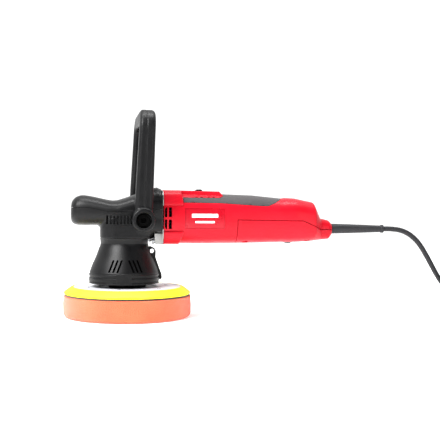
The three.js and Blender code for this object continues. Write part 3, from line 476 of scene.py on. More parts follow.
def outline_field(u, v, points):
    """Distance from (u, v) to a closed outline, negative inside it."""
    least, inside = None, False
    for (a, b), (c, d) in zip(points, points[1:] + points[:1]):
        squared = (c - a) ** 2 + (d - b) ** 2
        along = np.clip(((u - a) * (c - a) + (v - b) * (d - b)) / squared, 0, 1)
        away = (u - a - along * (c - a)) ** 2 + (v - b - along * (d - b)) ** 2
        least = away if least is None else np.minimum(least, away)
        if b != d:
            crosses = ((b > v) != (d > v)) & (u < (c - a) * (v - b) / (d - b) + a)
            inside = inside ^ crosses
    return np.where(inside, -1, 1) * np.sqrt(least)


def bulging_square(y, z, half, tall, middle, scale):
    """A square with bulging sides, across Y and Z. The scale turns its measure into millimetres."""
    share = (np.abs(y) / half) ** 5 + (np.abs(z - middle) / tall) ** 5
    return (share ** (1 / 5) - 1) * scale


def eased(stations):
    """A smooth curve through the stations, as many short rows."""
    steps = 10
    rows = np.array(stations, float)
    ends = np.vstack([2 * rows[0] - rows[1], rows, 2 * rows[-1] - rows[-2]])
    fine = []
    for p0, p1, p2, p3 in zip(ends, ends[1:], ends[2:], ends[3:]):
        for i in range(steps):
            t = i / steps
            fine.append(
                p1
                + 0.5 * t * (p2 - p0)
                + t * t * (p0 - 2.5 * p1 + 2 * p2 - 0.5 * p3)
                + t**3 * (1.5 * p1 - 1.5 * p2 + 0.5 * p3 - 0.5 * p0)
            )
    return np.array(fine + [rows[-1]])


def softened(stations):
    """The stations joined by straight runs whose corners are eased over a short reach."""
    reach = 2
    rows = np.array(stations, float)
    x = np.arange(rows[0, 0], rows[-1, 0] + 0.25, 0.5)
    columns = [x]
    kernel = np.ones(2 * reach + 1)
    for i in (1, 2, 3):
        straight = np.interp(x, rows[:, 0], rows[:, i])
        padded = np.pad(straight, len(kernel) // 2, mode="edge")
        columns.append(np.convolve(padded, kernel / kernel.sum(), mode="valid"))
    return np.array(columns).T


def loft(rows, square):
    """A field of rounded sections that stand along X. rows are x, half width, top, bottom."""

    def field(x, y, z):
        half, top, bottom = (np.interp(x, rows[:, 0], rows[:, i]) for i in (1, 2, 3))
        middle, high = (top + bottom) / 2, (top - bottom) / 2
        share = (np.abs(y) / half) ** square + (np.abs(z - middle) / high) ** square
        share = np.maximum(share ** (1 / square), 0.02)
        return np.hypot(y, z - middle) * (1 - 1 / share)

    return field


# ---- meshes

CREASE_REACH = 0.75  # in cells
BUILT_EDGE, NETTED_EDGE = math.radians(35), math.radians(40)  # edges past these angles are sharp


def made(name, points, faces, edge_angle=BUILT_EDGE, clean=False):
    """An object from points in millimetres, with smooth faces. Cleaning merges doubled points,
    drops faces without area and turns all faces out."""
    mesh = bpy.data.meshes.new(name)
    spots = [tuple(p) for p in np.asarray(points, float) * MM]
    mesh.from_pydata(spots, [], [tuple(f) for f in faces])
    mesh.validate()
    if clean:
        shape = bmesh.new()
        shape.from_mesh(mesh)
        bmesh.ops.remove_doubles(shape, verts=shape.verts, dist=1e-6)
        bmesh.ops.dissolve_degenerate(shape, edges=shape.edges, dist=1e-7)
        bmesh.ops.recalc_face_normals(shape, faces=shape.faces)
        shape.to_mesh(mesh)
        shape.free()
    mesh.polygons.foreach_set("use_smooth", [True] * len(mesh.polygons))
    mesh.set_sharp_from_angle(angle=edge_angle)
    mesh.update()
    piece = bpy.data.objects.new(name, mesh)
    bpy.context.collection.objects.link(piece)
    return piece


def netted(name, field, low, high, cell, creases=()):
    """A closed mesh where the field is zero, inside a box.
    Each crease is two fields, whose surfaces meet in a sharp edge of the mesh."""
    axes = [np.arange(a - 1.5 * cell, b + 2.5 * cell, cell) for a, b in zip(low, high)]
    x, y, z = np.meshgrid(*axes, indexing="ij", sparse=True)
    shape = tuple(len(a) for a in axes)
    value = np.broadcast_to(field(x, y, z), shape)
    cells = np.array(shape) - 1
    owners, places, quads = [], [], []
    for axis in range(3):
        first, second = [slice(None)] * 3, [slice(None)] * 3
        first[axis], second[axis] = slice(0, -1), slice(1, None)
        a, b = value[tuple(first)], value[tuple(second)]
        where = np.argwhere((a < 0) != (b < 0))
        before, after = a[tuple(where.T)], b[tuple(where.T)]
        crossing = where.astype(float)
        crossing[:, axis] += before / (before - after)
        u, v = (axis + 1) % 3, (axis + 2) % 3
        corners = []
        for du, dv in ((0, 0), (1, 0), (1, 1), (0, 1)):
            owner = where.copy()
            owner[:, u] -= du
            owner[:, v] -= dv
            corners.append((owner[:, 0] * cells[1] + owner[:, 1]) * cells[2] + owner[:, 2])
            places.append(crossing)
        owners += corners
        quad = np.stack(corners, 1)
        quad[before > 0] = quad[before > 0][:, ::-1]
        quads.append(quad)
    ids, index = np.unique(np.concatenate(owners), return_inverse=True)
    counts = np.bincount(index)
    places = np.concatenate(places)
    points = np.stack([np.bincount(index, weights=places[:, d]) / counts for d in range(3)], 1)
    points = points * cell + np.array([a[0] for a in axes])
    faces = np.searchsorted(ids, np.concatenate(quads))
    points = settled(points, field, cell)
    for first, second in creases:
        points = creased(points, first, second, cell)
    return made(name, points, faces, NETTED_EDGE)


def slope_of(field, points, step):
    """The field's slope along each axis at each point."""
    rises = [field(*(points + step * d).T) - field(*(points - step * d).T) for d in np.eye(3)]
    return np.stack([rise / (2 * step) for rise in rises], 1)


def creased(points, first, second, cell):
    """Points near the edge where two fields are zero, moved onto it."""
    near = np.maximum(np.abs(first(*points.T)), np.abs(second(*points.T))) < CREASE_REACH * cell
    moving = points[near]
    for _ in range(3):
        a, b = first(*moving.T), second(*moving.T)
        ga, gb = slope_of(first, moving, 0.05 * cell), slope_of(second, moving, 0.05 * cell)
        aa, bb, ab = (ga * ga).sum(1), (gb * gb).sum(1), (ga * gb).sum(1)
        whole = aa * bb - ab * ab
        steep = whole > 0.05
        whole = np.where(steep, whole, 1)
        move = ga * ((bb * a - ab * b) / whole)[:, None] + gb * ((aa * b - ab * a) / whole)[:, None]
        moving = moving - np.clip(np.where(steep[:, None], move, 0), -0.6 * cell, 0.6 * cell)
    points[near] = moving
    return points


def settled(points, field, cell):
    """The points moved onto the zero of the field."""
    step = 0.05 * cell
    for _ in range(3):
        here = field(*points.T)
        slope = slope_of(field, points, step)
        steep = np.maximum((slope**2).sum(1), 0.2)
        move = slope * (here / steep)[:, None]
        points = points - np.clip(move, -0.4 * cell, 0.4 * cell)
    return points


def arc_corners(outline, radius, steps=4, closed=True):
    """The outline with each of its corners rounded by an arc."""
    points = [np.array(p, float) for p in outline]
    result = []
    for i, here in enumerate(points):
        if not closed and i in (0, len(points) - 1):
            result.append(tuple(here))
            continue
        before, after = points[i - 1], points[(i + 1) % len(points)]
        a, b = before - here, after - here
        la, lb = np.linalg.norm(a), np.linalg.norm(b)
        a, b = a / la, b / lb
        half = math.acos(float(np.clip(a @ b, -1, 1))) / 2
        if half > math.radians(85):
            result.append(tuple(here))
            continue
        back = min(radius / math.tan(half), 0.45 * la, 0.45 * lb)
        start, end = here + a * back, here + b * back
        for k in range(steps + 1):
            t = k / steps
            result.append(tuple((1 - t) ** 2 * start + 2 * t * (1 - t) * here + t * t * end))
    return result


def turned(name, profile, centre=(0, 0, 0), axis="z", sides=96, ripple=None):
    """A closed profile of (radius, height) turned about an axis through a centre.
    ripple(angle, radius, height) may add to the radius."""
    points, faces = [], []
    count = len(profile)
    for i in range(sides):
        angle = 2 * math.pi * i / sides
        for r, h in profile:
            r = max(r, 0.0) + (ripple(angle, r, h) if ripple and r > 0 else 0.0)
            u, v = r * math.cos(angle), r * math.sin(angle)
            spot = {"z": (u, v, h), "x": (h, u, v), "y": (u, h, v)}[axis]
            points.append(tuple(c + p for c, p in zip(centre, spot)))
    for i in range(sides):
        j = (i + 1) % sides
        for k in range(count):
            n = (k + 1) % count
            faces.append((i * count + k, i * count + n, j * count + n, j * count + k))
    return made(name, points, faces, clean=True)


BOX_FACES = (0, 2, 3, 1), (4, 5, 7, 6), (0, 1, 5, 4), (2, 6, 7, 3), (0, 4, 6, 2), (1, 3, 7, 5)


def boxes(name, spans):
    """Several boxes as one mesh. A span is low corner, high corner."""
    points, faces = [], []
    for low, high in spans:
        start = len(points)
        for k in range(8):
            points.append([(high if k >> d & 1 else low)[d] for d in range(3)])
        for face in BOX_FACES:
            faces.append([start + k for k in face])
    return made(name, points, faces)


def spread(side, inner, outer):
    """A stretch along Y on one side of the middle plane, from its lower end to its upper."""
    return sorted((side * inner, side * outer))


def both_sides(x0, x1, inner, outer, z0, z1):
    """The spans of a box on the left side and of its mirror image."""
    ends = [spread(side, inner, outer) for side in (-1, 1)]
    return [((x0, near, z0), (x1, far, z1)) for near, far in ends]


def extruded(name, prisms):
    """Outlines seen from the side, pushed along Y. A prism is an outline, from y, to y."""
    points, faces = [], []
    for outline, low, high in prisms:
        start, n = len(points), len(outline)
        points += [(u, y, v) for y in (low, high) for u, v in outline]
        faces += [range(start, start + n)[::-1], range(start + n, start + 2 * n)]
        for i in range(n):
            here, following = start + i, start + (i + 1) % n
            faces.append((here, following, n + following, n + here))
    return made(name, points, faces, clean=True)


def carved(piece, cutter, operation="DIFFERENCE"):
    """The piece cut by, or joined with, another, which is used up."""
    modifier = piece.modifiers.new("cut", "BOOLEAN")
    modifier.operation = operation
    modifier.solver = "EXACT"
    modifier.object = cutter
    bpy.context.view_layer.update()
    shaped = piece.evaluated_get(bpy.context.evaluated_depsgraph_get())
    mesh = bpy.data.meshes.new_from_object(shaped)
    mesh.set_sharp_from_angle(angle=BUILT_EDGE)
    piece.modifiers.clear()
    piece.data = mesh
    bpy.data.objects.remove(cutter)
    return piece


def fit(piece, body, slot, replaces=(), finish=None):
    """Gives the piece its finish, body and CAD nodes. The finish is its slot's if none is named."""
    piece.data.materials.clear()
    piece.data.materials.append(FINISHES[finish or slot])
    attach(piece, body)
    if replaces:
        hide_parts(*replaces)
    return piece


# ---- cord, coil, tie and plug


def coil_turns():
    """The turns of the coil, laid in layers from the floor up, clockwise seen from above."""
    thick = 2 * CORD_RADIUS
    shift = 40  # degrees in which a turn moves over, or the cord climbs a layer
    outer = COIL_RADIUS + thick
    start = CORD_ROUTE[-1][1] - COIL_Y
    keys = [(0, start, 0), (shift, outer, 0)]
    angle, radius = 0, outer
    for layer in range(COIL_HIGH):
        way = -1 if layer % 2 == 0 else 1
        jog = 360 * math.ceil((angle + 1) / 360) - 2 * shift * layer
        while jog <= angle:
            jog += 360
        for _ in range(COIL_WIDE - 1):
            keys += [(jog, radius, layer), (jog + shift, radius + way * thick, layer)]
            radius += way * thick
            jog += 360
        if layer < COIL_HIGH - 1:
            climb = jog - shift
            keys += [(climb, radius, layer), (climb + shift, radius, layer + 1)]
            angle = climb + shift
    last = keys[-1][0] + 120
    keys.append((last, radius, layer))
    points = []
    for degrees in np.arange(4, last + 1, 4):
        r, level = curve_at(keys, degrees, 1), curve_at(keys, degrees, 2)
        a = math.radians(degrees)
        points.append(
            [COIL_X + r * math.sin(a), COIL_Y + r * math.cos(a), CORD_ROUTE[-1][2] + thick * level]
        )
    return points


def curve_at(keys, where, column):
    """A value between keys, eased at both."""
    for before, after in zip(keys, keys[1:]):
        if before[0] <= where <= after[0] and after[0] > before[0]:
            t = (where - before[0]) / (after[0] - before[0])
            t = t * t * (3 - 2 * t)
            return before[column] + t * (after[column] - before[column])
    return keys[-1][column]


def rise_to_plug(start):
    """From the coil's top outer turn up to the plug's tail, which heads towards -Y."""
    a = math.atan2(start[0] - COIL_X, start[1] - COIL_Y)
    radius = math.hypot(start[0] - COIL_X, start[1] - COIL_Y)
    end = math.radians(57)
    while a > end:
        a -= 2 * math.pi
    points = []
    steps = 16
    goal = np.array([PLUG_X, PLUG_BACK + 2, PLUG_Z])
    for i in range(1, steps + 1):
        t = i / steps
        lift = t * t * (3 - 2 * t)
        b = a + t * (end - a)
        on_turn = np.array([COIL_X + radius * math.sin(b), COIL_Y + radius * math.cos(b), start[2]])
        above = on_turn + np.array([0, 0, lift * (PLUG_Z - start[2])])
        near = max(0.0, (t - 0.5) / 0.5) ** 2
        points.append((above * (1 - near) + goal * near).tolist())
    points.append([PLUG_X, PLUG_BACK - 4, PLUG_Z])
    return points


def make_cord():
    turns = coil_turns()
    line = CORD_ROUTE + turns + rise_to_plug(turns[-1])
    curve = bpy.data.curves.new("mains_cord", "CURVE")
    curve.dimensions = "3D"
    curve.bevel_depth = CORD_RADIUS * MM
    curve.bevel_resolution = 5
    curve.resolution_u = 3
    curve.use_fill_caps = True
    spline = curve.splines.new("BEZIER")
    spline.bezier_points.add(len(line) - 1)
    for spot, p in zip(spline.bezier_points, line):
        spot.co = Vector(p) * MM
        spot.handle_left_type = spot.handle_right_type = "AUTO"
    cord = bpy.data.objects.new("mains_cord", curve)
    bpy.context.collection.objects.link(cord)
    length = sum(math.dist(a, b) for a, b in zip(line, line[1:])) * MM
    return fit(cord, "housing", "cord_rubber", ["cord_run", "cord_coil"]), round(length, 2)


def rectangle(half, low, high):
    return [(-half, low), (half, low), (half, high), (-half, high)]


def make_tie():
    """A strap of hook and loop tape closed round the coil's section."""
    thick, half = 0.9, 6.0
    wide, high = 9.75 + thick, COIL_TOP + 0.5
    section = arc_corners(rectangle(wide, 0.02, high + thick), 4, 6)
    inner = arc_corners(rectangle(wide - thick, 0.52, high), 3.2, 6)
    points = [(u, side, z) for side in (-half, half) for u, z in section + inner]
    faces = []
    n = len(section)
    for i in range(n):
        j = (i + 1) % n
        faces += [
            (i, j, 2 * n + j, 2 * n + i),
            (n + i, 3 * n + i, 3 * n + j, n + j),
            (i, n + i, n + j, j),
            (2 * n + i, 2 * n + j, 3 * n + j, 3 * n + i),
        ]
    turn = Matrix.Rotation(math.radians(TIE_AT), 3, "Z")
    middle = Vector((COIL_X, COIL_Y, 0))
    placed = [turn @ Vector((COIL_RADIUS + u, v, z)) + middle for u, v, z in points]
    return fit(made("coil_tie", placed, faces, clean=True), "housing", "hook")


def plug_field(x, y, z):
    u, v = x - PLUG_X, y - (PLUG_BACK - 24)
    around = np.hypot(u, z - PLUG_Z)
    outline = [
        (-4.6, 24), (4.6, 24), (6, 8), (13, 0), (17.5, -8), (17.5, -18), (14.5, -22),
        (-14.5, -22), (-17.5, -18), (-17.5, -8), (-13, 0), (-6, 8),
    ]
    body = rounded_and(outline_field(u, v, outline), np.abs(z - PLUG_Z) - 8, 3.5)
    tail = rounded_and(around - 5.6, between(v, -6, 24), 0.8)
    field = rounded_or(body, tail, 2)
    for i in range(5):
        groove = np.hypot(around - 6.2, v - (10 + 2.8 * i)) - 0.9
        field = without(field, groove, 0.2)
    for side in (-1, 1):
        dent = np.sqrt((u - side * 21) ** 2 + (v + 10) ** 2) - 6
        field = without(field, dent, 1.2)
    return field


def make_plug():
    pins = []
    for i, side in enumerate((-9.5, 9.5)):
        centre = (PLUG_X + side, 0, PLUG_Z)
        profile = arc_corners([(0, -88), (2.4, -88), (2.4, -69.2), (0, -69.2)], 1.6, 5)
        pin = turned(f"pin_{i + 1}", profile, centre, "y", 32)
        pins.append(fit(pin, "housing", "steel", [f"plug_pin_{i + 1}"]))
    low, high = (PLUG_X - 18, PLUG_FRONT - 0.5, PLUG_LOW), (PLUG_X + 18, PLUG_BACK + 0.5, PLUG_HIGH)
    body = netted("moulded_plug", plug_field, low, high, 0.6)
    return [fit(body, "housing", "cord_rubber", ["plug_body"]), *pins]


def make_guard():
    outline = [
        (0, GUARD_START), (7.4, GUARD_START), (7.4, GUARD_START + 2.4), (6.0, GUARD_START + 2.8),
        (6.05, 244), (6.0, 256), (5.5, 275), (4.9, 294), (4.3, 309), (4.15, 315.4), (5.0, 316.0),
        (5.0, 318.3), (4.4, GUARD_END), (0, GUARD_END),
    ]
    guard = turned("cord_sleeve", arc_corners(outline, 0.6), (0, 0, CORD_Z), "x", 64)
    return fit(guard, "housing", "cord_rubber", ["cord_guard"])


cord, cord_length = make_cord()
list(make_plug())
make_tie()
make_guard()

# ---- pad and backing plate

PAD_CENTRE = (ORBIT, 0, 0)
RIVETS, RIVET_RING = 6, 48.0


def bulge(start, end, out, steps=10):
    """A side that bulges outwards between two (radius, height) points."""
    return [
        (
            start[0] + (end[0] - start[0]) * i / steps + out * math.sin(math.pi * i / steps),
            start[1] + (end[1] - start[1]) * i / steps,
        )
        for i in range(1, steps)
    ]


def make_foam():
    low, high = (74.6, 5.6), (74.4, 24.2)
    edge = [
        (low[0] - 5.4 + 5.4 * math.sin(t), low[1] - 5.6 * math.cos(t))
        for t in np.linspace(0, math.pi / 2, 9)
    ]
    face = [(r, 0.0) for r in (0, 20, 40, 55, 64)]
    rim = [(74.0, 25.1), (73.1, 25.5), (60, 25.6), (0, 25.6)]
    profile = face + edge + bulge(low, high, 0.4) + [high] + rim

    def uneven(angle, r, h):
        share = min(1.0, max(0.0, (r - 60) / 12)) * min(1.0, h / 6)
        waves = 0.12 * math.sin(9 * angle + 0.35 * h) + 0.08 * math.sin(23 * angle - 0.5 * h)
        return share * waves

    foam = turned("polishing_foam", profile, PAD_CENTRE, "z", 180, uneven)
    fit(foam, "pad", "foam", ["foam_pad"])


def make_plate():
    hook = arc_corners([(0, 25.9), (73.3, 25.9), (73.5, 26.4), (73.3, 27.0), (0, 27.0)], 0.3)

    def frayed(angle, r, h):
        return 0.12 * math.sin(61 * angle) * math.sin(17 * angle) if r > 70 else 0.0

    fit(turned("hook_and_loop", hook, PAD_CENTRE, "z", 240, frayed), "pad", "hook", ["hook_layer"])

    cushion = [
        (0, 27.3), (73.4, 27.3), (74.1, 28.1), (74.0, 29.4), (70.2, 32.4), (66.2, 35.2),
        (65.0, 35.75), (62.9, 35.75), (62.9, 33.3), (0, 33.3),
    ]
    ring = turned("yellow_cushion", arc_corners(cushion, 0.8), PAD_CENTRE, "z", 180)
    fit(ring, "pad", "yellow_cushion", ["plate_cushion"])

    disc = [
        (0, 33.6), (62.6, 33.6), (62.6, 35.75), (60.4, 35.75), (59.4, 35.3), (36.5, 35.3),
        (35.5, 35.85), (34, 35.85), (31, 34.7), (0, 34.7),
    ]
    plate = turned("glass_fibre_disc", arc_corners(disc, 0.4, 3), PAD_CENTRE, "z", 180)
    fit(plate, "pad", "white_plastic", ["plate_disc"])
    rivet = arc_corners([(0, 35.0), (2.1, 35.0), (2.1, 35.7), (1.5, 36.0), (0, 36.0)], 0.3)
    for i in range(RIVETS):
        angle = 2 * math.pi * (i + 0.25) / RIVETS
        centre = (ORBIT + RIVET_RING * math.cos(angle), RIVET_RING * math.sin(angle), 0)
        fit(turned(f"plate_rivet_{i + 1}", rivet, centre, sides=24), "pad", "steel")

    hub = [
        (0, 35.0), (21.1, 35.0), (21.1, 37.8), (19.6, 38.4), (15, 42.4), (12.2, 44.6), (11, 46.4),
        (3.8, 46.4), (3.8, 58), (0, 58),
    ]

    def ribbed(angle, r, h):
        return 0.4 * math.cos(72 * angle) if r > 14.5 else 0.0

    piece = turned("ribbed_hub", arc_corners(hub, 0.5, 3), PAD_CENTRE, "z", 432, ribbed)
    fit(piece, "pad", "black_plastic", ["plate_hub"])


make_foam()
make_plate()

# ---- shroud

SHROUD_OUTER = [
    [28.5, SHROUD_TOP], [27.9, 89], [27.7, 86], [28.4, 83.2], [29.6, 80.5], [31, 76.4], [32.6, 72],
    [34.5, 67.6], [36.6, 63], [38.5, 58.3],
]
SHROUD_INNER = [
    [39.0, SHROUD_BOTTOM], [39.0, 50], [34.4, 63], [30.4, 72], [26.1, 80], [25.5, 85.5],
    [25.5, SHROUD_TOP],
]
SHROUD_SIDES = 160
PLAIN_X, PLAIN_HALF = -2.0, 8.9  # the band's grooves stop beside this plain stretch
SLOT_PITCH, SLOT_LEAN = 4.6, 5.6  # between slots, and from each slot's top to its foot
SLOT_TOP, SLOT_FOOT, SLOT_HALF = 68.0, 53.8, 1.1
LUG_HOLE = 32.4, 77.1, 2.7  # x, z, radius
LUG = [
    [26.8, 82], [31, 82.6], [35, 80.6], [36.8, 77], [36.6, 69.7], [40.4, 59], [44, 49.5],
    [44.2, 44], [40.2, 43.6], [36, 52], [27.5, 74],
]
# The band round the shroud's mouth, with a crease above it and two grooves
BAND_GROOVED = [
    (40.4, 52.6), (40.5, 51.2), (SHROUD_RADIUS, 50.8), (SHROUD_RADIUS, 48.3), (40.4, 47.9),
    (40.4, 46.9), (SHROUD_RADIUS, 46.5), (SHROUD_RADIUS, 42.4), (40.6, 42.1), (40.6, 41.5),
    (41.0, 41.2), (41.0, SHROUD_BOTTOM),
]
BAND_PLAIN = [(40.4, 52.6), (SHROUD_RADIUS, 51.8), (SHROUD_RADIUS, SHROUD_BOTTOM)]


def shroud_body(name, band):
    profile = [*arc_corners([*SHROUD_OUTER, *band], 0.35, 3, closed=False), *SHROUD_INNER]
    return turned(name, profile, sides=SHROUD_SIDES)


def shroud_lug():
    """The lug at the shroud's rear, cut to the inner wall. Its cross hole is cut later."""
    lug = extruded("lug", [(arc_corners(LUG, 1.2, 4), -3.5, 3.5)])
    core = turned("cutter", [*SHROUD_INNER, (0, SHROUD_TOP), (0, 30), (39, 30)], sides=SHROUD_SIDES)
    return carved(lug, core)


def ring_points(u, v, radius):
    turns = [2 * math.pi * i / 32 for i in range(32)]
    return [(u + radius * math.cos(t), v + radius * math.sin(t)) for t in turns]


def shroud_slots():
    """Cutters for three slots leaning each way, at the front and at the back."""
    prisms = []
    for side in (-1, 1):
        for lean in (-1, 1):
            for i in range(3):
                top = lean * (4 + SLOT_PITCH * i) - 0.4
                foot = top + lean * SLOT_LEAN
                outline = [
                    (top - SLOT_HALF, SLOT_TOP), (top + SLOT_HALF, SLOT_TOP),
                    (foot + SLOT_HALF, SLOT_FOOT), (foot - SLOT_HALF, SLOT_FOOT),
                ]
                prisms.append((arc_corners(outline, 0.9, 4), *spread(side, 15, 46)))
    return extruded("slots", prisms)


def make_shroud():
    shroud = shroud_body("bell_shroud", BAND_GROOVED)
    ends = PLAIN_X - PLAIN_HALF, PLAIN_X + PLAIN_HALF
    for stretch in both_sides(*ends, 34, 45, SHROUD_BOTTOM - 2, 52.4):
        plain = shroud_body("plain", BAND_PLAIN)
        carved(plain, boxes("cutter", [stretch]), "INTERSECT")
        carved(shroud, plain, "UNION")
    carved(shroud, shroud_lug(), "UNION")
    carved(shroud, extruded("cutter", [(ring_points(*LUG_HOLE), -9, 9)]))
    carved(shroud, shroud_slots())
    fit(shroud, "housing", "black_plastic", ["shroud"])
    # A flat black cone inside the bell, behind the slots: painted shade, so that the slots read as
    # dark.
    shade_liner_profile = [(37.6, 52.6), (37.0, 52.6), (29.9, 70), (30.5, 70)]
    fit(turned("shroud_shade_liner", shade_liner_profile), "housing", "black_plastic", (), "painted_shade_black")


make_shroud()

# ---- head covers

HEAD_SKIN = loft(eased(HEAD), 2.8)
COLUMN_X, COLUMN_LONG = 2.35, 30.65  # the gear head's middle, and half its length
COLUMN_CORNER = 17.0
REAR_Z, REAR_TALL = 121.5, 26.5  # the collar in front of the barrel: its middle and half height
LOUVRE_WIDTH = 2.0
LOUVRE_BAND = 107.6, 120.6  # from z, to z of what lies behind the louvres
SEAM_ABOVE = [*COVER_SEAM, [60, 180], [-80, 180]]


def head_body(x, y, z):
    """Palm grip and gear head as one shape, with a fillet under the nose, and open-ended."""
    grip = rounded_and(HEAD_SKIN(x, y, z), -62.3 - x, 1.5)
    plan = rounded_and(np.abs(x - COLUMN_X) - COLUMN_LONG, np.abs(y) - HEAD_HALF, COLUMN_CORNER)
    column = rounded_and(plan, z - 117, 3)
    field = rounded_or(grip, column, np.interp(x, [-29, -23], [5, 0.8]))
    rear = bulging_square(y, z, HEAD_HALF, REAR_TALL, REAR_Z, 27)
    rear = rounded_and(rear, np.maximum(12 - x, z - 138), 4)
    return rounded_or(field, rear, 3)


def head_shell(x, y, z):
    body = head_body(x, y, z)
    outer = rounded_and(rounded_and(body, x - COVER_REAR, 0.8), COVER_BOTTOM - z, 0.8)
    opening = np.maximum(np.hypot(x, y) - 25.9, z - 110)
    return without(outer, np.minimum(body + COVER_WALL, opening), 0.3)


def above_seam(x, y, z):
    return outline_field(x, z, SEAM_ABOVE) + 0.05 + 0 * y


def below_seam(x, y, z):
    return 0.3 - outline_field(x, z, SEAM_ABOVE) + 0 * y


def upper_field(x, y, z):
    return np.maximum(head_shell(x, y, z), above_seam(x, y, z))


def lower_field(x, y, z):
    shell = head_shell(x, y, z)
    body = head_body(x, y, z)
    seam = outline_field(x, z, SEAM_ABOVE)
    lip_wall = between(body, -COVER_WALL - 1.4, -COVER_WALL - 0.15)
    lip = common(lip_wall, np.abs(seam) - 2, x - 30)
    collar = np.hypot(x - PIVOT_X, z - 113.2) - 10.2
    collar = rounded_and(collar, between(np.abs(y), 27, 40), 0.8)
    field = rounded_or(shell, collar, 1.2)
    field = np.maximum(field, 0.3 - seam)
    field = np.minimum(field, lip)
    field = without(field, np.hypot(x - PIVOT_X, z - PIVOT_Z) - 8.3, 0.3)
    chin = np.maximum(32.9 - x, z - 98.7)
    flange = common(32.7 - x, np.abs(y) - 28.5, z - 107.4)
    return without(field, np.minimum(chin, flange), 0.4)


def louvre_slots():
    spans = []
    for i in range(LOUVRES):
        x = LOUVRE_START + LOUVRE_PITCH * i
        spans += both_sides(x, x + LOUVRE_WIDTH, 22, 42, 109.2, 119)
    return boxes("louvres", spans)


def make_head():
    low, high = (-63, -41, COVER_BOTTOM), (COVER_REAR, 41, 152)
    upper = netted("palm_grip_cover", upper_field, low, high, 0.75, [(head_body, above_seam)])
    fit(upper, "housing", "black_plastic", ["head_upper_cover"])
    lower = netted("gear_head_cover", lower_field, low, high, 0.75, [(head_body, below_seam)])
    recess = both_sides(LOUVRE_START - 1.4, PIVOT_X - 6, HEAD_HALF - 0.9, 40, LOUVRE_BAND[0], 120.4)
    carved(lower, boxes("cutter", recess))
    fit(carved(lower, louvre_slots()), "housing", "black_plastic", ["head_lower_cover"])
    first, last = LOUVRE_START + 3, LOUVRE_START + LOUVRE_PITCH * LOUVRES
    # Dark sheets behind the louvres, flat black at the front and black plastic behind: painted
    # shade in the slots.
    shade_sheets = both_sides(LOUVRE_START - 1, first, 25.6, 26.2, *LOUVRE_BAND)
    fit(boxes("louvre_shade_sheets", shade_sheets), "housing", "black_plastic", (), "painted_shade_black")
    backs = both_sides(first, last, 26.2, 26.8, *LOUVRE_BAND)
    fit(boxes("louvre_shade_backs", backs), "housing", "black_plastic")


make_head()

# ---- D-handle and bolts


def handle_field(x, y, z):
    lean = math.radians(HANDLE_LEAN)
    u = (x - PIVOT_X) * math.cos(lean) - (z - PIVOT_Z) * math.sin(lean)
    w = PIVOT_Z + (x - PIVOT_X) * math.sin(lean) + (z - PIVOT_Z) * math.cos(lean)
    top = HANDLE_TOP - ARM_DEPTH / 2
    tall = 200  # the frame's lower end lies below the pivots, and is cut off there
    height = np.abs(w - (top - tall / 2)) - tall / 2
    across = rounded_and(np.abs(y) - HANDLE_HALF, height, ARM_BEND)
    middle = np.clip(1 - (np.abs(y) / 40) ** 4, 0, 1) * np.clip((w - (top - 12)) / 6, 0, 1)
    back = 1.8 * middle
    share = np.clip((w - TAPER_START) / (HANDLE_TOP - TAPER_START), 0, 1)
    u = np.where(u < 0, u / (1 - share * 2 * ARM_TAPER / ARM_WIDTH), u)
    wide, deep = ARM_WIDTH / 2, ARM_DEPTH / 2
    bar = block(u - back / 2, across, 0 * u, (-wide, -deep, -9), (wide, deep, 9), 4.6) - back / 2
    seam = np.hypot(u, across - ARM_DEPTH / 2 - 0.25) - 0.75
    bar = without(bar, seam, 0.2)
    bar = rounded_and(bar, PIVOT_Z - 2 - w, 2)
    boss = np.hypot(x - PIVOT_X, z - PIVOT_Z)
    end = rounded_and(boss - ARM_END_RADIUS, between(np.abs(y), ARM_END_IN, ARM_END_OUT), 1.2)
    return rounded_or(bar, end, 3)


def bolt_field(side):
    def field(x, y, z):
        r = np.hypot(x - PIVOT_X, z - PIVOT_Z)
        v = side * y
        head = rounded_and(r - BOLT_HEAD_RADIUS, between(v, BOLT_SEAT + GAP, BOLT_OUTER), 0.7)
        shank = rounded_and(r - BOLT_SHANK_RADIUS, between(v, BOLT_INNER, BOLT_SEAT + 1), 0.4)
        angle = np.arctan2(z - PIVOT_Z, x - PIVOT_X)
        sector = np.mod(angle, math.pi / 3) - math.pi / 6
        socket = np.maximum(r * np.cos(sector) - 3, 54 - v)
        return without(np.minimum(head, shank), socket, 0.25)

    return field


def make_handle():
    low, high = (2, -62.5, 101), (39, 62.5, HANDLE_TOP + 0.5)
    handle = netted("d_shaped_handle", handle_field, low, high, 0.9)
    rim = ARM_END_OUT + 0.02
    bore = [
        (0, 40), (4.3, 40), (4.3, BOLT_SEAT), (8.85, BOLT_SEAT), (8.85, rim - 0.6), (9.5, rim),
        (9.5, 66), (0, 66),
    ]
    for side in (-1, 1):
        cutter = [(r, side * h) for r, h in bore]
        carved(handle, turned("cutter", cutter, (PIVOT_X, 0, PIVOT_Z), "y", 64))
    fit(handle, "handle", "black_plastic", ["d_handle"])
    for name, side in (("left", -1), ("right", 1)):
        near, far = spread(side, BOLT_INNER, BOLT_OUTER)
        reach = BOLT_HEAD_RADIUS + GAP
        corners = (PIVOT_X - reach, near, PIVOT_Z - reach), (PIVOT_X + reach, far, PIVOT_Z + reach)
        bolt = netted(f"pivot_bolt_{name}", bolt_field(side), *corners, 0.5)
        # The bolts take the flat black of painted shade in place of steel, for the shade in their
        # recesses.
        fit(bolt, "housing", "steel", [f"handle_bolt_{name}"], "painted_shade_black")


make_handle()

# ---- barrel, rear cover, grip, labels

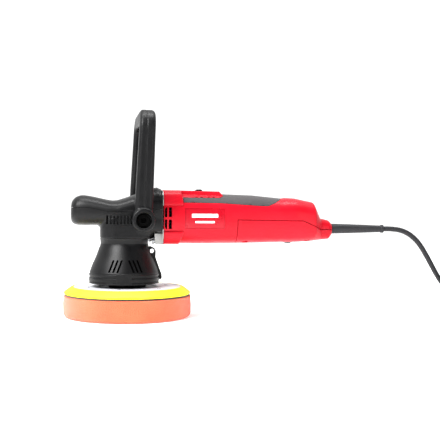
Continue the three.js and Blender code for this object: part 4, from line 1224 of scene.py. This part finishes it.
SKIN = loft(softened(BARREL), 2.5)
TIGHTER = [
    [x, half - BARREL_WALL, top - BARREL_WALL, bottom + BARREL_WALL]
    for x, half, top, bottom in BARREL[:7]
]
HOLLOW = loft(np.array([*TIGHTER, *HOLLOW_TAIL], float), 2.5)
UPPER_BLOCK = [[40, 131.7], [66.3, 131.7], [63.3, 155], [40, 155]]
LOWER_BLOCK = [[40, 80], [60.5, 80], [66.8, 100.6], [40, 100.6]]
RAIL_SIDE = [[60, 130], [60, 148.8], [110.3, 148], [114.4, 143.6], [114.4, 130]]
SHOULDER_HALF, SHOULDER_TALL, SHOULDER_Z = 31.3, 31.85, 117.25
BULKHEAD = 121.5, 123.0  # from x, to x
VENT_COLUMNS = ((44.6, 47.4), (49.3, 52.9))
VENT_ROWS = ((117.7, 128.7), (103.9, 114.7))
VENTS = [(*column, *row) for column in VENT_COLUMNS for row in VENT_ROWS]


def rail_section(y, z):
    return np.maximum(np.abs(y) - 18.5 + (z - 130) * 3 / 22, 130 - z)


def barrel_outer(x, y, z):
    skin = SKIN(x, y, z)
    shoulder = bulging_square(y, z, SHOULDER_HALF, SHOULDER_TALL, SHOULDER_Z, 29)
    blocks = np.minimum(outline_field(x, z, UPPER_BLOCK), outline_field(x, z, LOWER_BLOCK))
    field = rounded_or(skin, rounded_and(shoulder, blocks, 1.0), 0.8)
    rail = rounded_and(outline_field(x, z, RAIL_SIDE), rail_section(y, z), 1.2)
    return rounded_or(field, rail, 0.6)


def barrel_shell(x, y, z):
    outer = rounded_and(barrel_outer(x, y, z), np.maximum(HOUSING_FRONT - x, x - TAIL_END), 0.7)
    hollow = np.maximum(HOLLOW(x, y, z), x - HOLLOW_TAIL[-1][0])
    field = without(outer, hollow, 0.3)
    skin = SKIN(x, y, z)
    bulkhead = common(between(x, *BULKHEAD), skin, 11 - np.hypot(y, z - MOTOR_Z))
    field = np.minimum(field, bulkhead)
    for px, py in POSTS:
        post = np.maximum(np.hypot(x - px, y - py) - 4.4, skin + 1)
        field = np.minimum(field, np.maximum(post, 1.9 - np.hypot(x - px, y - py)))
    return without(field, np.maximum(np.hypot(y, z - CORD_Z) - 6.4, GUARD_START - 3 - x), 0.3)


def side_window(x0, x1, z0, z1, grow=0.0, corner=1.0):
    """The field of an outline on both sides of the barrel, moved out by a distance."""
    low, high = (x0 - grow, 20, z0 - grow), (x1 + grow, 60, z1 + grow)
    return lambda x, y, z: block(x, np.abs(y), z, low, high, corner)


def skin_sheet(window, top, bottom):
    """A sheet between two depths under the barrel's skin, inside a window."""

    def field(x, y, z):
        skin = SKIN(x, y, z)
        return common(skin + top, -(skin + bottom), window(x, y, z))

    return field


def behind_seam(x, y, z):
    return outline_field(x, z, [*REAR_SEAM, [280, 60]]) + 0 * y


def rear_inner(x, y, z):
    return behind_seam(x, y, z) + SEAM_GAP


def rail_room(x, y, z):
    """The grip leaves this room for the switch rail."""
    return np.maximum(rail_section(y, z) - GAP, x - 114.7)


def grip_plan(x, y, z):
    return np.maximum(outline_field(x, z, GRIP_OUTLINE) + 0 * y, -rail_room(x, y, z))


def grip_room(x, y, z):
    return grip_plan(x, y, z) - GAP


LABEL_ROOM = side_window(*LABEL, grow=GAP)


def housing_field(x, y, z):
    field = np.maximum(barrel_shell(x, y, z), -behind_seam(x, y, z))
    skin = SKIN(x, y, z)
    field = np.maximum(field, -np.maximum(grip_room(x, y, z), -(skin + GRIP_DEPTH + GAP)))
    room = np.maximum(LABEL_ROOM(x, y, z), -(skin + LABEL_SINK + LABEL_DEPTH + GAP))
    return np.maximum(field, -room)


def rear_field(x, y, z):
    """Its wall has an inner lip that closes the seam."""
    lip = np.maximum(behind_seam(x, y, z) + 0.08, SKIN(x, y, z) + 2)
    return np.maximum(barrel_shell(x, y, z), np.minimum(rear_inner(x, y, z), lip))


def vent_outline(x0, x1, z0, z1):
    """A vent seen from the side. The front ones lose the corner that is away from the middle."""
    chamfer = 1.4 if x0 < 46 else 0.2
    if z0 > MOTOR_Z:
        return [(x0, z0), (x1, z0), (x1, z1), (x0 + chamfer, z1), (x0, z1 - 1.8 * chamfer)]
    return [(x0, z0 + 1.8 * chamfer), (x0 + chamfer, z0), (x1, z0), (x1, z1), (x0, z1)]


def make_barrel():
    low, high = (HOUSING_FRONT, -32, 85), (TAIL_END, 32, 149.5)
    edges = [(SKIN, behind_seam), (SKIN, grip_room), (SKIN, LABEL_ROOM)]
    housing = netted("motor_barrel", housing_field, low, high, 0.9, edges)
    for vent in VENTS:
        carved(housing, extruded("cutter", [(vent_outline(*vent), -42, 42)]))
    knob_bed = (69.7, -7.3, 147.2), (100.6, 7.3, 156)
    stem_slot = (78.7, -3.3, 140), (90.3, 3.3, 156)
    rail_hollow = (72, -7.5, 136), (113.5, 7.5, 145.6)
    for span in (knob_bed, stem_slot, rail_hollow):
        carved(housing, boxes("cutter", [span]))
    fit(housing, "housing", "red_shell", ["motor_housing"])

    low = (130, -32, 85)
    rear = netted("rear_cover", rear_field, low, (TAIL_END, 32, 116), 0.8, [(SKIN, rear_inner)])
    dial_slot = (DIAL_X - 12, -4.6, 80), (DIAL_X + 12, 4.6, 96)
    carved(rear, boxes("cutter", [dial_slot]))
    for x, y in POSTS:
        well = [(0, 80), (3.9, 80), (3.9, 97), (1.9, 97), (1.9, 121), (0, 121)]
        carved(rear, turned("cutter", well, (x, y, 0), "z", 24))
    fit(rear, "housing", "red_shell", ["rear_lower_cover"])

    grip = skin_sheet(grip_plan, 0, GRIP_DEPTH)
    low, high = (66, -32, 130), (193, 32, 147)
    grip = netted("grip_overmould", grip, low, high, 0.8, [(SKIN, grip_plan)])
    fit(grip, "housing", "soft_grip", ["soft_grip"])


def make_sheet(name, side, outline, top, bottom, cell, corner):
    """A label or a printed bar on one side of the barrel."""
    x0, x1, z0, z1 = outline
    near, far = spread(side, 24, 32)
    window = side_window(*outline, corner=corner)
    edge = [(lambda x, y, z: SKIN(x, y, z) + top, window)]
    return netted(name, skin_sheet(window, top, bottom), (x0, near, z0), (x1, far, z1), cell, edge)


def make_labels():
    label_layer = LABEL_SINK, LABEL_SINK + LABEL_DEPTH
    bar_layer = LABEL_SINK - BAR_PROUD, LABEL_SINK + 0.3
    for name, side in (("left", -1), ("right", 1)):
        plate = make_sheet(f"label_{name}", side, LABEL, *label_layer, 0.5, 1.0)
        fit(plate, "housing", "label", ["label_plate"] if side < 0 else [])
        for row, outline in enumerate(BARS):
            bar = make_sheet(f"plain_bar_{name}_{row + 1}", side, outline, *bar_layer, 0.4, 0.8)
            fit(bar, "housing", "label", (), "label_ink")


def make_vent_slats():
    """Thin slats stand across the vents, behind the barrel's face, with flat black sheets of
    painted shade behind them.
    """
    slats = []
    for x0, x1, z0, z1 in VENTS:
        for i in (1, 2):
            z = z0 + (z1 - z0) * i / 3
            slats += both_sides(x0 - 0.3, x1 + 0.3, 26.2, 27.4, z - 0.25, z + 0.25)
    fit(boxes("vent_slats", slats), "housing", "black_plastic")
    # Flat black sheets behind the vents: painted shade.
    shade_sheets = both_sides(44, 53.6, 25, 25.4, 103, 129.4)
    fit(boxes("vent_shade_sheets", shade_sheets), "housing", "black_plastic", (), "painted_shade_black")


make_barrel()
make_labels()
make_vent_slats()

# ---- controls

KNOB_LOW, KNOB_HIGH = (76, -7), (100, 7)  # x, y
KNOB_RIDGE = [
    [83.2, 147.8], [84.2, 149.8], [86, 150.5],
    [89.4, 150.5], [91.2, 149.8], [92.2, 147.8],
]


def knob_field(x, y, z):
    base = block(x, y, z, (*KNOB_LOW, 147.5), (*KNOB_HIGH, 148.35), 0.25)
    ridge = rounded_and(outline_field(x, z, KNOB_RIDGE), np.abs(y) - 5.5, 1.2)
    for i in range(4):
        ridge = without(ridge, np.hypot(x - (85.0 + 1.8 * i), z - 150.7) - 0.5, 0.15)
    stem = block(x, y, z, (85, -3, 144.7), (90, 3, 148), 0.3)
    return np.minimum(rounded_or(base, ridge, 0.4), stem)


def make_controls():
    knob = netted("slide_knob", knob_field, (*KNOB_LOW, 144.7), (*KNOB_HIGH, 150.6), 0.4)
    fit(knob, "switch", "black_plastic", ["switch_knob"])

    def knurled(angle, r, h):
        return 0.35 * math.cos(36 * angle) if r > 11 else 0.0

    profile = [(0, -7), (2.5, -7), (2.5, -4), (13, -4), (13, 4), (2.5, 4), (2.5, 7), (0, 7)]
    dial = turned("speed_wheel", arc_corners(profile, 0.5), (DIAL_X, 0, DIAL_Z), "y", 216, knurled)
    fit(dial, "dial", "black_plastic", ["speed_dial"])


make_controls()

# ---- carried-over CAD nodes

SLOT_OF = {row["node"]: row["material_slot"] for row in frame["record"]["subparts"]}
for node_name, node in frame["nodes"].items():
    if not node.hide_render:
        node.data.materials.clear()
        node.data.materials.append(FINISHES[SLOT_OF[node_name]])

# ---- stage, light and world


def make_stage():
    """A pale floor, wide enough for its edge to lie out of sight."""
    reach = 30000.0
    corners = [(-reach, -reach, 0), (reach, -reach, 0), (reach, reach, 0), (-reach, reach, 0)]
    floor = made("studio_floor", corners, [(0, 1, 2, 3)])
    s = Shader("studio_floor", 0.9, Emission_Strength=0.34, Emission_Color=(1, 1, 1, 1))
    s.colour(s.blend(s.noise(3, 2), (0.90, 0.90, 0.90), (0.93, 0.93, 0.93)))
    floor.data.materials.append(s.material)


def area_light(name, place, aim, size, power):
    light = bpy.data.lights.new(name, "AREA")
    light.shape = "RECTANGLE"
    light.size, light.size_y = size
    light.energy = power
    lamp = bpy.data.objects.new(name, light)
    lamp.location = place
    lamp.rotation_euler = (Vector(aim) - Vector(place)).to_track_quat("-Z", "Y").to_euler()
    bpy.context.collection.objects.link(lamp)


def make_world():
    """White all round, and dimmer in front, so that dark plastic shows its shape."""
    world = bpy.data.worlds.new("studio")
    bpy.context.scene.world = world
    world.use_nodes = True
    tree = world.node_tree
    way = add_node(tree, "TexCoord").outputs["Generated"]
    across = add_node(tree, "SeparateXYZ", Vector=way).outputs["Y"]
    strengths = {"To_Min": FRONT_DIM, "To_Max": 1.02}
    strength = add_node(tree, "MapRange", Value=across, From_Min=-0.7, From_Max=0.3, **strengths)
    background = tree.nodes["Background"].inputs
    background["Color"].default_value = (1, 1, 1, 1)
    tree.links.new(strength.outputs["Result"], background["Strength"])


def make_lights():
    middle = (0.1, 0, 0.12)
    area_light("key", (-0.75, -0.75, 0.95), middle, (0.8, 0.6), 27)
    area_light("fill", (0.9, -1.3, 0.35), middle, (0.35, 0.8), 3)
    area_light("top", (0.1, 0.0, 1.4), middle, (1.2, 0.4), 17)


make_world()
make_stage()
make_lights()
bpy.context.scene.view_settings.view_transform = "Standard"
bpy.context.scene.view_settings.look = "Medium High Contrast"
